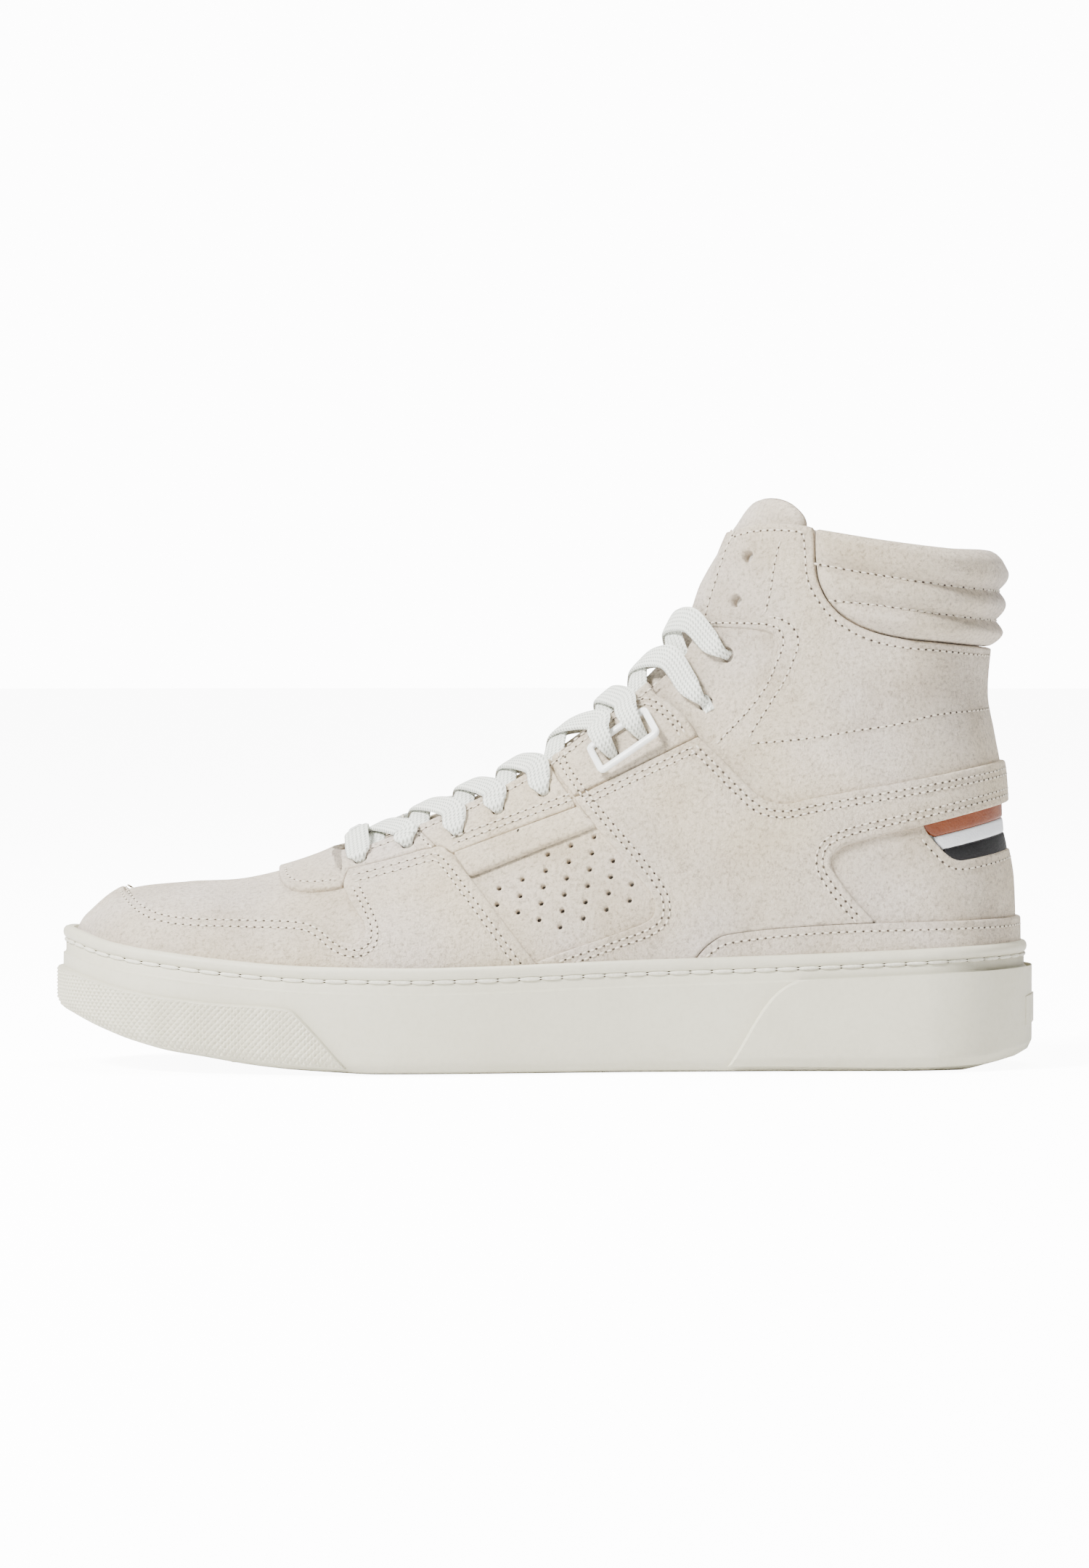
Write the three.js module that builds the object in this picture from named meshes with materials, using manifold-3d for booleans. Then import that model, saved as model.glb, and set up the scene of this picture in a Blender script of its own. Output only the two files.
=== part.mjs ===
// Suede basketball high top, one left shoe, built as separate closed solids.
// Millimetres. Toe towards -X, lateral side towards -Y, ground at Z = 0.
import * as THREE from 'three';
import { mergeVertices } from 'three/addons/utils/BufferGeometryUtils.js';
import Module from 'manifold-3d';

const wasm = await Module();
wasm.setup();

// ---- driving dimensions -------------------------------------------------
const HALF_LENGTH = 152.4;      // sole, toe to centre of length
const TOE_X = -146.7;           // foremost point of the upper
const TOE_ROUND = 48;           // length over which the toe closes in plan
const HEEL_ROUND = 36;          // length over which the heel closes in plan
const SKIN = 1.3;               // thickness of one suede layer
const GAP = 0.3;                // clearance between neighbouring solids
const THROAT_HALF = 13;         // half width of the lace throat
const THROAT_Y = -2;            // centre line of the throat
const SMOOTH = 0.2;             // flat areas of a finished solid are thinned to this
const SIDE_ROWS = 7;            // mesh rows up one side of the upper
const FLOOR = 6;                // thickness of the outsole floor
const WRAP = 1;                 // thickness of the toe bumper and heel wrap
const LACE_W = 8;               // flat lace
const LACE_T = 0.9;
const EYELET_R = 2.3;
const HOLE_UNDER = 2.8;         // the same holes through the layer below

// Depth of each layer under the outer skin: [outer, inner].
const OVERLAY = [0, SKIN];
const BASE = [SKIN + GAP, 2 * SKIN + GAP];
const STIFFENER = [3.2, 4.2];
const LINING = [4.6, 6.3];
const TONGUE = [6.6, 12];

// Sections of the upper from the sole cup up to the ridge line. Each row:
// [base x, base z, ridge x, ridge z, half widths at s = 0, 1/3, 2/3, 1, ridge sharpness]
const SECTIONS = [
  [-146.7, 31.0, -146.7, 42.3, 44, 44, 43, 42, 2.4],
  [-143.5, 30.0, -143.2, 47.4, 44, 44, 43, 42, 2.4],
  [-133.0, 27.8, -131.5, 56.0, 44, 44, 43, 42, 2.4],
  [-115.0, 25.5, -112.0, 58.7, 44, 43.5, 42, 40, 2.4],
  [-95.0, 23.5, -93.0, 60.0, 46, 45.5, 42.5, 40, 2.4],
  [-70.0, 22.0, -72.0, 65.8, 49.5, 48, 42, 36, 2.5],
  [-45.0, 21.5, -54.0, 74.5, 50, 47.5, 39, 30, 2.7],
  [-18.0, 21.5, -35.0, 83.5, 45.5, 43.5, 35, 26, 3],
  [10.0, 22.0, -12.0, 94.5, 41, 40, 33, 24, 3.4],
  [40.0, 23.5, 8.0, 108.0, 38.5, 38, 33.5, 25, 3.8],
  [75.0, 25.0, 24.0, 121.0, 36.5, 37, 34.5, 27, 4.2],
  [110.0, 26.5, 34.0, 131.0, 36, 36.5, 35, 28, 4.5],
  [135.0, 27.5, 38.5, 138.0, 36, 36.5, 35.5, 29, 4.5],
  [149.0, 28.0, 41.0, 144.0, 36, 36.5, 35.5, 30, 4.5],
  [149.2, 50.0, 43.0, 150.0, 35, 36, 35.5, 31, 4.5],
  [146.0, 74.0, 45.5, 156.0, 34.5, 35.5, 35.5, 31, 4.5],
  [142.5, 104.0, 49.0, 163.0, 34.5, 35.5, 36, 32, 4.5],
  [141.2, 130.0, 54.0, 172.0, 35.5, 36.5, 36.5, 33, 4.5],
  [144.0, 158.0, 62.0, 184.0, 37, 38, 37.5, 34, 4.5],
  [145.0, 176.0, 70.0, 198.0, 37, 38, 37.5, 34, 4.5],
];
const LAST_RIM = 13;            // sections up to this one stand in the sole cup

// Back contour of the upper, [z, x].
const BACK = [[20, 149], [42, 149.2], [60, 148.5], [74, 146], [92, 144.7], [105, 142.3],
  [116, 140.4], [133, 141.7], [160, 144], [180, 145]];
// Plan centre line, half width and heights of the sole, all against x.
const CENTRE = [[-152, 6], [-130, 3], [-105, 1.5], [-75, 0.5], [-45, -1], [-10, -3], [30, -2.5],
  [70, -1.5], [110, -0.5], [135, 0], [153, 0]];
const SOLE_HALF = [[-152, 44], [-130, 44.5], [-105, 47.5], [-75, 53.5], [-45, 54], [-10, 48],
  [30, 42], [70, 40], [110, 39.7], [153, 38]];
const RIM_Z = [[-152, 43.3], [-140, 40.2], [-129, 38.2], [-105, 35.5], [-82, 33.6], [-58, 33],
  [-29, 33], [26, 34.8], [80, 36.4], [153, 39.2]];
const BOTTOM_Z = [[-153, 16.6], [-136, 10.5], [-123, 6.8], [-109, 4.8], [-95, 2.7], [-82, 1.4],
  [-68, 0.6], [-55, 0], [-20, 0], [134, 0], [148, 2.4], [153, 3.6]];

// Eyelets on one side, [x, z] from the toe upwards. The last two carry no lace.
const EYELETS = [[-57.4, 65.2], [-42.7, 70.1], [-27.1, 73.7], [-14.6, 80.8], [-0.4, 86.5],
  [20.9, 97.8], [30.2, 103.6], [47.9, 115], [54.6, 129.3], [58.1, 146], [61.7, 159.9]];
const LACED = 9;

// ---- small numeric helpers ----------------------------------------------
const clamp = (t, lo, hi) => Math.min(hi, Math.max(lo, t));
const roundOff = (t) => Math.sqrt(clamp(t, 0, 1) * (2 - clamp(t, 0, 1)));

function spline(p0, p1, p2, p3, t) {
  const a = 2 * p1;
  const b = p2 - p0;
  const c = 2 * p0 - 5 * p1 + 4 * p2 - p3;
  const d = -p0 + 3 * p1 - 3 * p2 + p3;
  return 0.5 * (a + t * (b + t * (c + t * d)));
}

function along(values, u) {
  const last = values.length - 1;
  const i = clamp(Math.floor(u), 0, last - 1);
  const at = (k) => values[clamp(k, 0, last)];
  return spline(at(i - 1), at(i), at(i + 1), at(i + 2), u - i);
}

function curve(table, key) {
  let i = 0;
  while (i < table.length - 2 && key > table[i + 1][0]) i += 1;
  const t = clamp((key - table[i][0]) / (table[i + 1][0] - table[i][0]), 0, 1);
  return along(table.map((row) => row[1]), i + t);
}

// ---- the foot shape: one formula for every layer ---------------------------
const column = (k) => SECTIONS.map((row) => row[k]);
const COLUMNS = SECTIONS[0].map((value, k) => column(k));

function sectionEnds(u) {
  const [bx, bz, tx, tz] = [0, 1, 2, 3].map((k) => along(COLUMNS[k], u));
  const onBack = u >= LAST_RIM;
  return { base: [onBack ? curve(BACK, bz) : bx, bz], ridge: [tx, tz] };
}

function ridgeNormal(u) {
  const a = sectionEnds(Math.max(0, u - 0.05)).ridge;
  const b = sectionEnds(Math.min(SECTIONS.length - 1, u + 0.05)).ridge;
  const size = Math.hypot(b[0] - a[0], b[1] - a[1]);
  return [-(b[1] - a[1]) / size, (b[0] - a[0]) / size];
}

// Point of the upper at section u, height share s, side -1 (lateral) or 1, at a depth.
function skin(u, s, side, depth) {
  const { base, ridge } = sectionEnds(u);
  const n = ridgeNormal(u);
  const x0 = base[0] + (ridge[0] - base[0]) * s;
  const z0 = base[1] + (ridge[1] - base[1]) * s;
  const toe = roundOff((base[0] - TOE_X) / TOE_ROUND);
  const heel = u >= LAST_RIM ? 0 : roundOff((curve(BACK, base[1]) - base[0]) / HEEL_ROUND);
  const bx = base[0] + depth * (heel - toe);
  const rx = ridge[0] - depth * n[0];
  const rz = ridge[1] - depth * n[1];
  const half = along([4, 5, 6, 7].map((k) => along(COLUMNS[k], u)), 3 * s) - depth;
  const top = Math.sqrt(Math.max(0, 1 - s ** along(COLUMNS[8], u)));
  const front = roundOff((x0 - TOE_X) / TOE_ROUND);
  const back = s === 0 && u >= LAST_RIM ? 0 : roundOff((curve(BACK, z0) - x0) / HEEL_ROUND);
  const y = curve(CENTRE, x0) + side * half * top * front * back;
  return new THREE.Vector3(bx + (rx - bx) * s, y, base[1] + (rz - base[1]) * s);
}

// Section and height share of a point given in side view.
function locate(x, z) {
  let lo = 0;
  let hi = SECTIONS.length - 1;
  for (let step = 0; step < 30; step += 1) {
    const u = (lo + hi) / 2;
    const { base, ridge } = sectionEnds(u);
    const cross = (ridge[0] - base[0]) * (z - base[1]) - (ridge[1] - base[1]) * (x - base[0]);
    if (cross > 0) hi = u;
    else lo = u;
  }
  const { base, ridge } = sectionEnds(lo);
  const dx = ridge[0] - base[0];
  const dz = ridge[1] - base[1];
  const s = ((x - base[0]) * dx + (z - base[1]) * dz) / (dx * dx + dz * dz);
  return [lo, clamp(s, 0, 1)];
}

function onSkin([x, z], side, depth) {
  const [u, s] = locate(x, z);
  return skin(u, s, side, depth);
}

// ---- geometry and boolean helpers ------------------------------------------
function fromGrid(rows) {
  const positions = rows.flat().flatMap((p) => [p.x, p.y, p.z]);
  const geometry = new THREE.BufferGeometry();
  geometry.setAttribute('position', new THREE.Float32BufferAttribute(positions, 3));
  return geometry;
}

function toSolid(geometry) {
  const plain = geometry.index ? geometry.toNonIndexed() : geometry;
  plain.deleteAttribute('normal');
  plain.deleteAttribute('uv');
  const welded = mergeVertices(plain, 1e-3);
  const index = [];
  for (let i = 0; i < welded.index.count; i += 3) {
    const [a, b, c] = [0, 1, 2].map((k) => welded.index.getX(i + k));
    if (a !== b && b !== c && c !== a) index.push(a, b, c);
  }
  const build = (triangles) => new wasm.Manifold(new wasm.Mesh({
    numProp: 3,
    vertProperties: Float32Array.from(welded.attributes.position.array),
    triVerts: Uint32Array.from(triangles),
  }));
  const solid = build(index);
  return solid.volume() > 0 ? solid : build(index.reverse());
}

// Closed solid from loops of equal length, with flat fans of strips over both ends.
function loft(loops) {
  const count = loops[0].length;
  const index = [];
  for (let i = 0; i < loops.length - 1; i += 1) {
    for (let j = 0; j < count; j += 1) {
      const a = i * count + j;
      const b = i * count + (j + 1) % count;
      index.push(a, b, b + count, a, b + count, a + count);
    }
  }
  const cap = (start, flip) => {
    for (let j = 0; j < count / 2 - 1; j += 1) {
      const [a, b, c, d] = [j, j + 1, count - 2 - j, count - 1 - j].map((k) => start + k);
      index.push(...(flip ? [a, c, b, a, d, c] : [a, b, c, a, c, d]));
    }
  };
  cap(0, true);
  cap((loops.length - 1) * count, false);
  const geometry = fromGrid(loops);
  geometry.setIndex(index);
  return toSolid(geometry);
}

function meshSolid(solid) {
  const parts = solid.decompose();
  const volumes = parts.map((part) => part.volume());
  return parts[volumes.indexOf(Math.max(...volumes))].simplify(SMOOTH);
}

// Prism along Y from a side-view outline of [x, z] points.
function sidePrism(outline, y0, y1) {
  const shape = new THREE.Shape(outline.map(([x, z]) => new THREE.Vector2(x, z)));
  const geometry = new THREE.ExtrudeGeometry(shape, { depth: y1 - y0, bevelEnabled: false });
  geometry.rotateX(Math.PI / 2);
  geometry.translate(0, y1, 0);
  return toSolid(geometry);
}

// The same outline moved outwards by r, so that its neighbour can keep clear of it.
function grow(outline, r) {
  const turn = Math.sign(THREE.ShapeUtils.area(outline.map(([x, z]) => new THREE.Vector2(x, z))));
  return outline.map(([x, z], i) => {
    const [ax, az] = outline[(i + outline.length - 1) % outline.length];
    const [bx, bz] = outline[(i + 1) % outline.length];
    const first = new THREE.Vector2(z - az, ax - x).normalize();
    const second = new THREE.Vector2(bz - z, x - bx).normalize();
    const n = first.add(second).normalize();
    return [x + turn * r * n.x, z + turn * r * n.y];
  });
}

// ---- upper layers ------------------------------------------------------------
const SECTION_STEPS = [0, 0.15, 0.4, 0.8, 1.3, 2, 3, 4, 5, 6, 7, 8, 9, 10, 11, 12, 12.5, 12.8, 13,
  14, 15, 16, 17, 18, 19];

function foot(depth, drop = 0) {
  const loops = SECTION_STEPS.map((u) => {
    const shares = [...Array(SIDE_ROWS + 1).keys()].map((j) => (1 - Math.cos((Math.PI * j) / SIDE_ROWS)) / 2);
    const lateral = shares.map((s) => skin(u, s, -1, depth));
    const medial = shares.slice(0, -1).reverse().map((s) => skin(u, s, 1, depth));
    const lower = new THREE.Vector3(0, 0, u <= LAST_RIM ? -drop : 0);
    return [lateral[0].clone().add(lower), ...lateral, ...medial, medial.at(-1).clone().add(lower)];
  });
  return footFromLoops(loops);
}

// Wraps open section loops into one closed solid: skin, underside and top.
function footFromLoops(loops) {
  const count = loops[0].length;
  const index = [];
  for (let i = 0; i < loops.length - 1; i += 1) {
    for (let j = 0; j < count - 1; j += 1) {
      const a = i * count + j;
      index.push(a, a + 1, a + count + 1, a, a + count + 1, a + count);
    }
    const lateral = i * count;
    const medial = i * count + count - 1;
    index.push(lateral, medial + count, medial, lateral, lateral + count, medial + count);
  }
  for (const [start, flip] of [[0, false], [(loops.length - 1) * count, true]]) {
    for (let j = 0; j < (count - 1) / 2; j += 1) {
      const [a, b, c, d] = [j, j + 1, count - 2 - j, count - 1 - j].map((k) => start + k);
      index.push(...(flip ? [a, b, c, a, c, d] : [a, c, b, a, d, c]));
    }
  }
  const geometry = fromGrid(loops);
  geometry.setIndex(index);
  return toSolid(geometry);
}

const shells = new Map();
function shell([outer, inner]) {
  const key = `${outer}/${inner}`;
  if (!shells.has(key)) shells.set(key, foot(outer).subtract(foot(inner, 8)));
  return shells.get(key);
}

const THROAT = [[-66, 52], [-66, 195], [64, 195], [64, 172], [58, 150], [50, 124], [30, 103],
  [5, 83], [-20, 70], [-45, 58]];
const throatCut = (half) => sidePrism(THROAT, THROAT_Y - half, THROAT_Y + half);
const THROAT_CUT = throatCut(THROAT_HALF);
const INNER_THROAT_CUT = throatCut(THROAT_HALF + 2);

const WIDE = 80;
// A panel of one layer: both sides at once (side 0) or only one side.
function panel(layer, outline, side = 0) {
  const y0 = side > 0 ? GAP / 2 : -WIDE;
  const y1 = side < 0 ? -GAP / 2 : WIDE;
  return shell(layer).intersect(sidePrism(outline, y0, y1));
}

function drillEyelets(solid, side, first, last, radius = EYELET_R) {
  let cut = solid;
  for (const hole of EYELETS.slice(first, last)) {
    const out = onSkin(hole, side, -6);
    const into = onSkin(hole, side, 12);
    cut = cut.subtract(rod(out, into, radius));
  }
  return cut;
}

function rod(from, to, radius, facets = 12) {
  const geometry = new THREE.CylinderGeometry(radius, radius, from.distanceTo(to), facets);
  const axis = new THREE.Vector3().subVectors(to, from).normalize();
  const spin = new THREE.Quaternion().setFromUnitVectors(new THREE.Vector3(0, 1, 0), axis);
  geometry.applyQuaternion(spin);
  const middle = new THREE.Vector3().addVectors(from, to).multiplyScalar(0.5);
  geometry.translate(middle.x, middle.y, middle.z);
  return toSolid(geometry);
}

// ---- outlines of the panels in side view ---------------------------------------
const MUDGUARD = [[-160, 10], [-160, 60], [-137, 60], [-131, 55], [-124.9, 52.6], [-118, 50.5],
  [-108.8, 49.4], [-82.5, 48.5], [-74.7, 47.8], [-69.1, 45.4], [-64.2, 41.8], [-59, 40],
  [-55.5, 42], [-55.5, 45.5], [-57.9, 49.4], [-62.4, 57.2], [-61, 62.3], [-46, 65.8],
  [-33.8, 69.2], [-31, 68.8], [-23.3, 60.5], [-3, 34.2], [1, 29], [1, 10]];
const FRONT_STAY = [[-70, 92], [-67.1, 66.1], [-62.9, 58.4], [-61.3, 62.6], [-46, 66.2],
  [-34, 69.6], [-40.3, 76.2], [-46, 92]];
const EYESTAY = [[-45.6, 92], [-39.9, 76.4], [-33.2, 69.9], [-30.7, 69.2], [-28.5, 67.9], [9.6, 82.2],
  [8.1, 84.4], [2, 93.5], [1.4, 98.3], [0, 112]];
const STRIP = [[-28.2, 67.4], [10.2, 81.7], [15, 76.4], [-22.9, 60.9]];
const RING_STAY = [[2, 112], [2.2, 98.4], [2.7, 93.8], [8.7, 84.9], [46.8, 103.4], [45.2, 106.1],
  [42.5, 110.4], [38.2, 114.2], [33.4, 117.5], [28.5, 130]];
const SADDLE = [[9.2, 84.3], [15.9, 75.9], [24.4, 65.9], [32.5, 55.7], [34.1, 51.8], [33.5, 48.2],
  [30.6, 46.1], [23.5, 43.3], [3.5, 36.5], [-2.2, 34.4], [1.6, 29], [1.6, 10], [44, 10],
  [44, 30], [46.3, 35], [50.3, 39.5], [55.9, 42.7], [83.1, 45.4], [102.5, 46.2], [99.7, 48.7],
  [94.1, 55], [90.1, 60.3], [88.1, 64.4], [88.7, 67.2], [94.1, 70.6], [116, 75.7], [142.7, 81.8],
  [160, 85.2], [160, 98.2], [141.4, 94.9], [109.5, 89.3], [81.4, 84.4], [76, 83.1], [71.8, 83],
  [68, 84.2], [64.6, 86.6], [52.8, 98.5], [47.3, 103.2]];
const FOXING = [[44.4, 10], [44.4, 30], [46.7, 34.7], [50.6, 39.1], [56, 42.3], [83.1, 45],
  [114.6, 46.2], [160, 46.7], [160, 10]];
const THROAT_TAB = [[-95, 92], [-85, 68], [-82.7, 60.3], [-81.8, 58.7], [-79.8, 57], [-75.6, 56.1],
  [-68.6, 56.3], [-63.4, 57.6], [-67.5, 66], [-71, 92]];

const VAMP = [[-160, 10], [-160, 95], [-34.4, 95], [-34.4, 10]];
const SIDE_PANEL = [[-34, 10], [-34, 95], [2, 125], [24, 125], [40, 104], [50, 92], [62, 80],
  [70, 77], [84, 78.5], [84, 10]];
const HEEL_OVERLAY = [[84.4, 10], [84.4, 78.2], [117, 80.5], [118.1, 75.7], [121.5, 71.2],
  [126.9, 66.1], [131.1, 65.1], [160, 70.2], [160, 10]];
const STRIPE_TAN = [[118.6, 80.6], [160, 88], [160, 80.4], [121.8, 72.6], [119.1, 76]];
const STRIPE_WHITE = [[122.2, 72.3], [160, 80], [160, 75.7], [125.2, 69.2]];
const STRIPE_BLACK = [[125.5, 68.9], [160, 75.4], [160, 70.6], [131.1, 65.5], [127.3, 66.6]];
const COLLAR = [[83.4, 168.7], [82.8, 166], [83.3, 157], [84.4, 151.7], [87.9, 145.6],
  [93.2, 140.8], [102.1, 136.6], [113.7, 134], [121.3, 133.2], [139, 131.1], [160, 128.4],
  [160, 156], [145, 156], [143.5, 159.5], [141, 161], [127.4, 162], [105, 165]];
const QUARTER = [[10, 137.8], [59.9, 137.4], [69.6, 135.6], [71.6, 132.9], [69.8, 127.1],
  [66, 119.9], [59.6, 111.9], [50.9, 103.2], [46, 98], [50.6, 92.5], [62.4, 80.5], [70, 77.4],
  [84, 78.9], [117, 81], [160, 88.5], [160, 128], [139, 130.8], [121.3, 132.9], [113.7, 133.7],
  [102.1, 136.2], [93, 140.4], [87.6, 145.4], [84.1, 151.6], [83, 157], [82.5, 166],
  [82, 169.3], [71.5, 170.4], [62.6, 169.8], [55, 167.6], [10, 160]];
const INSET = [[10, 137.4], [59.8, 137], [69.3, 135.3], [71.2, 132.8], [69.5, 127.3], [65.7, 120.1],
  [59.3, 112.1], [50.6, 103.4], [45.7, 98.2], [40.3, 104.4], [24.4, 125.4], [10, 125.4]];
const LINING_OUTLINE = [[-160, 10], [-160, 95], [2, 130], [10, 160], [55, 167.6], [62.6, 169.8],
  [71.5, 170.4], [82, 169.3], [82.5, 166], [83, 157], [84.1, 151.6], [87.6, 145.4], [93, 140.4],
  [102.1, 136.2], [113.7, 133.7], [121.3, 132.9], [139, 130.8], [160, 128], [160, 10]];
const PUFF = [[-160, 10], [-160, 70], [-118, 70], [-112, 45], [-112, 10]];
const COUNTER = [[100, 10], [98, 50], [104, 66], [116, 78], [160, 84], [160, 10]];
const TONGUE_LOW = [[-66, 50], [-66, 95], [0, 130], [20, 133.7],
  [50, 133.7], [80, 129.8], [75, 127], [62, 118], [48, 104],
  [30, 90], [8, 76], [-15, 65], [-40, 56]];
const TONGUE_TOP = [[20, 134], [20, 160], [56, 171], [60, 175.4], [64.4, 177], [70, 176.4],
  [75, 174.4], [78, 170.5], [78.5, 150], [79, 134]];

const SIDES = [['lateral', -1], ['medial', 1]];

// ---- sole ------------------------------------------------------------------------
const PLAN_STEPS = 24;
function planLoop(inset, height) {
  const half = [...Array(PLAN_STEPS + 1).keys()].map((k) => {
    const x0 = -HALF_LENGTH * Math.cos((Math.PI * k) / PLAN_STEPS);
    const toe = roundOff((x0 + HALF_LENGTH) / 50);
    const heel = roundOff((HALF_LENGTH - x0) / HEEL_ROUND);
    const w = (curve(SOLE_HALF, x0) - inset) * toe * heel;
    const x = x0 * (1 - inset / HALF_LENGTH);
    return [x, curve(CENTRE, x0), w, height(x)];
  });
  const lateral = half.map(([x, y, w, z]) => new THREE.Vector3(x, y - w, z));
  const medial = half.slice(1, -1).reverse().map(([x, y, w, z]) => new THREE.Vector3(x, y + w, z));
  return [...lateral, ...medial];
}

// Ends of the plan loops are single points, so the caps are fans of strips.
function planSolid(rings) {
  const loops = rings.map(([inset, height]) => planLoop(inset, height));
  const count = loops[0].length;
  const index = [];
  for (let i = 0; i < loops.length - 1; i += 1) {
    for (let j = 0; j < count; j += 1) {
      const a = i * count + j;
      const b = i * count + (j + 1) % count;
      index.push(a, b, b + count, a, b + count, a + count);
    }
  }
  for (const [start, flip] of [[0, true], [(loops.length - 1) * count, false]]) {
    for (let j = 0; j < PLAN_STEPS; j += 1) {
      const [a, b] = [j, j + 1];
      const [d, c] = [(count - j) % count, (count - j - 1) % count];
      const quad = flip ? [a, c, b, a, d, c] : [a, b, c, a, c, d];
      index.push(...quad.map((k) => start + k));
    }
  }
  const geometry = fromGrid(loops);
  geometry.setIndex(index);
  return toSolid(geometry);
}

const bottom = (lift) => (x) => Math.max(0, curve(BOTTOM_Z, x)) + lift;
const rim = (drop) => (x) => curve(RIM_Z, x) - drop;
const cupFloor = (lift) => (x) => {
  const [u] = locateBase(x);
  return sectionEnds(u).base[1] + lift;
};

function locateBase(x) {
  let lo = 0;
  let hi = LAST_RIM;
  for (let step = 0; step < 30; step += 1) {
    const u = (lo + hi) / 2;
    if (sectionEnds(u).base[0] < x) lo = u;
    else hi = u;
  }
  return [lo];
}

function makeCupsole() {
  const side = WRAP + GAP;
  const body = planSolid([
    [side + 4.4, bottom(0)], [side + 1.9, bottom(1.4)], [side, bottom(5)], [side, rim(8.4)],
    [side + 0.9, rim(7.9)], [side + 0.9, rim(4.3)], [side + 0.2, rim(3.4)], [side, rim(1.9)],
    [side + 0.5, rim(0.5)], [side + 1.6, rim(0)], [side + 3.6, rim(0.4)]]);
  const hollow = planSolid([[4.6, bottom(FLOOR)], [4.6, cupFloor(0.5)]]);
  return body.subtract(hollow).subtract(foot(-GAP, 0.6));
}

function wrapShell() {
  const outer = planSolid([[4.4, bottom(0.6)], [1.4, bottom(1.5)], [0, bottom(4.5)], [0, rim(4)]]);
  const inner = planSolid([[4.2 + WRAP, bottom(0)], [1.5 + WRAP, bottom(1.4)],
    [WRAP, bottom(4.5)], [WRAP, rim(3)]]);
  return outer.subtract(inner);
}

const BUMPER = [[-160, 33], [-151.7, 31.1], [-128.7, 25.3], [-105, 22.3], [-80, 20.7], [-76.3, 19.1],
  [-59.9, 1.2], [-68, 1.6], [-95, 3.9], [-123, 8], [-136, 11.8], [-160, 21]];
const HEEL_WRAP = [[160, 34.2], [78, 28.6], [55.6, 1.2], [134, 1.2], [160, 5.8]];

function makeHeelPlate() {
  const plate = planSolid([[-0.9, bottom(10)], [-0.9, bottom(19)]]);
  const behind = planSolid([[-0.2, bottom(9)], [-0.2, bottom(20)]]);
  const window = sidePrism([[140, 12], [140, 25], [160, 25], [160, 12]], -15, 15);
  return plate.subtract(behind).intersect(window);
}

// ---- laces ---------------------------------------------------------------------------
// Flat ribbon through a list of {at, up, width}; up is the direction across its thickness.
function ribbon(stops, room) {
  const loops = stops.map(({ at, up, width }, i) => {
    const before = stops[Math.max(0, i - 1)].at;
    const after = stops[Math.min(stops.length - 1, i + 1)].at;
    const ahead = new THREE.Vector3().subVectors(after, before).normalize();
    const across = new THREE.Vector3().crossVectors(ahead, up).normalize().multiplyScalar(width / 2 + room);
    const high = new THREE.Vector3().crossVectors(across, ahead).normalize().multiplyScalar(LACE_T / 2 + room);
    const corner = (a, b) => at.clone().addScaledVector(across, a).addScaledVector(high, b);
    return [corner(-1, -1), corner(1, -1), corner(1, 1), corner(-1, 1)];
  });
  return loft(loops);
}

const outward = (spot, side) => new THREE.Vector3()
  .subVectors(onSkin(spot, side, -3), onSkin(spot, side, 3)).normalize();

function mix(a, b, t) {
  return a.map((value, k) => value + (b[k] - value) * t);
}

// Spot level with eyelet k where the skin is `half` away from the middle of the throat.
function throatSpot(k, side, half = THROAT_HALF) {
  const [u] = locate(...EYELETS[k]);
  let s = 1;
  while (Math.abs(skin(u, s, side, 0).y - THROAT_Y) < half) s -= 0.01;
  const p = skin(u, s, side, 0);
  return [p.x, p.z];
}

const stop = (at, up, width = LACE_W) => ({ at, up, width });

function ridgeFrame(spot) {
  const [u] = locate(...spot);
  const [nx, nz] = ridgeNormal(u);
  const [x, z] = sectionEnds(u).ridge;
  return { at: new THREE.Vector3(x, THROAT_Y, z), up: new THREE.Vector3(nx, 0, nz) };
}

// Direction from an eyelet to the throat edge beside it.
function inward(hole, edge, side) {
  return new THREE.Vector3().subVectors(onSkin(edge, side, 0), onSkin(hole, side, 0)).normalize();
}

const UNDER = 3.65;             // depth at which the lace runs under the eyestays
const RING_ROWS = [5, 6];
// Up through eyelet k from under the stay, over the skin and to the throat edge.
function eyeletRun(k, side) {
  const hole = EYELETS[k];
  const edge = throatSpot(k, side);
  const across = inward(hole, edge, side).negate();
  const high = RING_ROWS.includes(k) ? -4.5 : -1;
  const reach = RING_ROWS.includes(k) ? 0.5 : 0.35;
  return [
    stop(onSkin(hole, side, UNDER), across, 3),
    stop(onSkin(hole, side, high + 0.5), across, 3),
    stop(onSkin(mix(hole, edge, reach), side, high), outward(hole, side), 5),
    stop(onSkin(edge, side, -1.1), outward(edge, side)),
  ];
}

// One run of the lace: out of eyelet k, over the throat, under the far edge and back to
// the eyelet below, where it meets the run that comes out there.
function crossing(k, side, lift, room) {
  const lower = EYELETS[k - 1];
  const { at, up } = ridgeFrame(mix(throatSpot(k, side), throatSpot(k - 1, side), 0.3));
  const inside = THROAT_HALF - 1.5;
  const far = mix(throatSpot(k, -side, inside), throatSpot(k - 1, -side, inside), 0.75);
  const under = (t, width) => stop(onSkin(mix(far, lower, t), -side, UNDER), outward(lower, -side), width);
  return ribbon([
    ...eyeletRun(k, side),
    stop(at.addScaledVector(up, lift - 1.4), up),
    under(0, 7),
    under(0.25, 6),
    under(0.5, 5),
    under(0.75, 4),
    under(1.15, 3.6),
  ], room);
}

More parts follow.
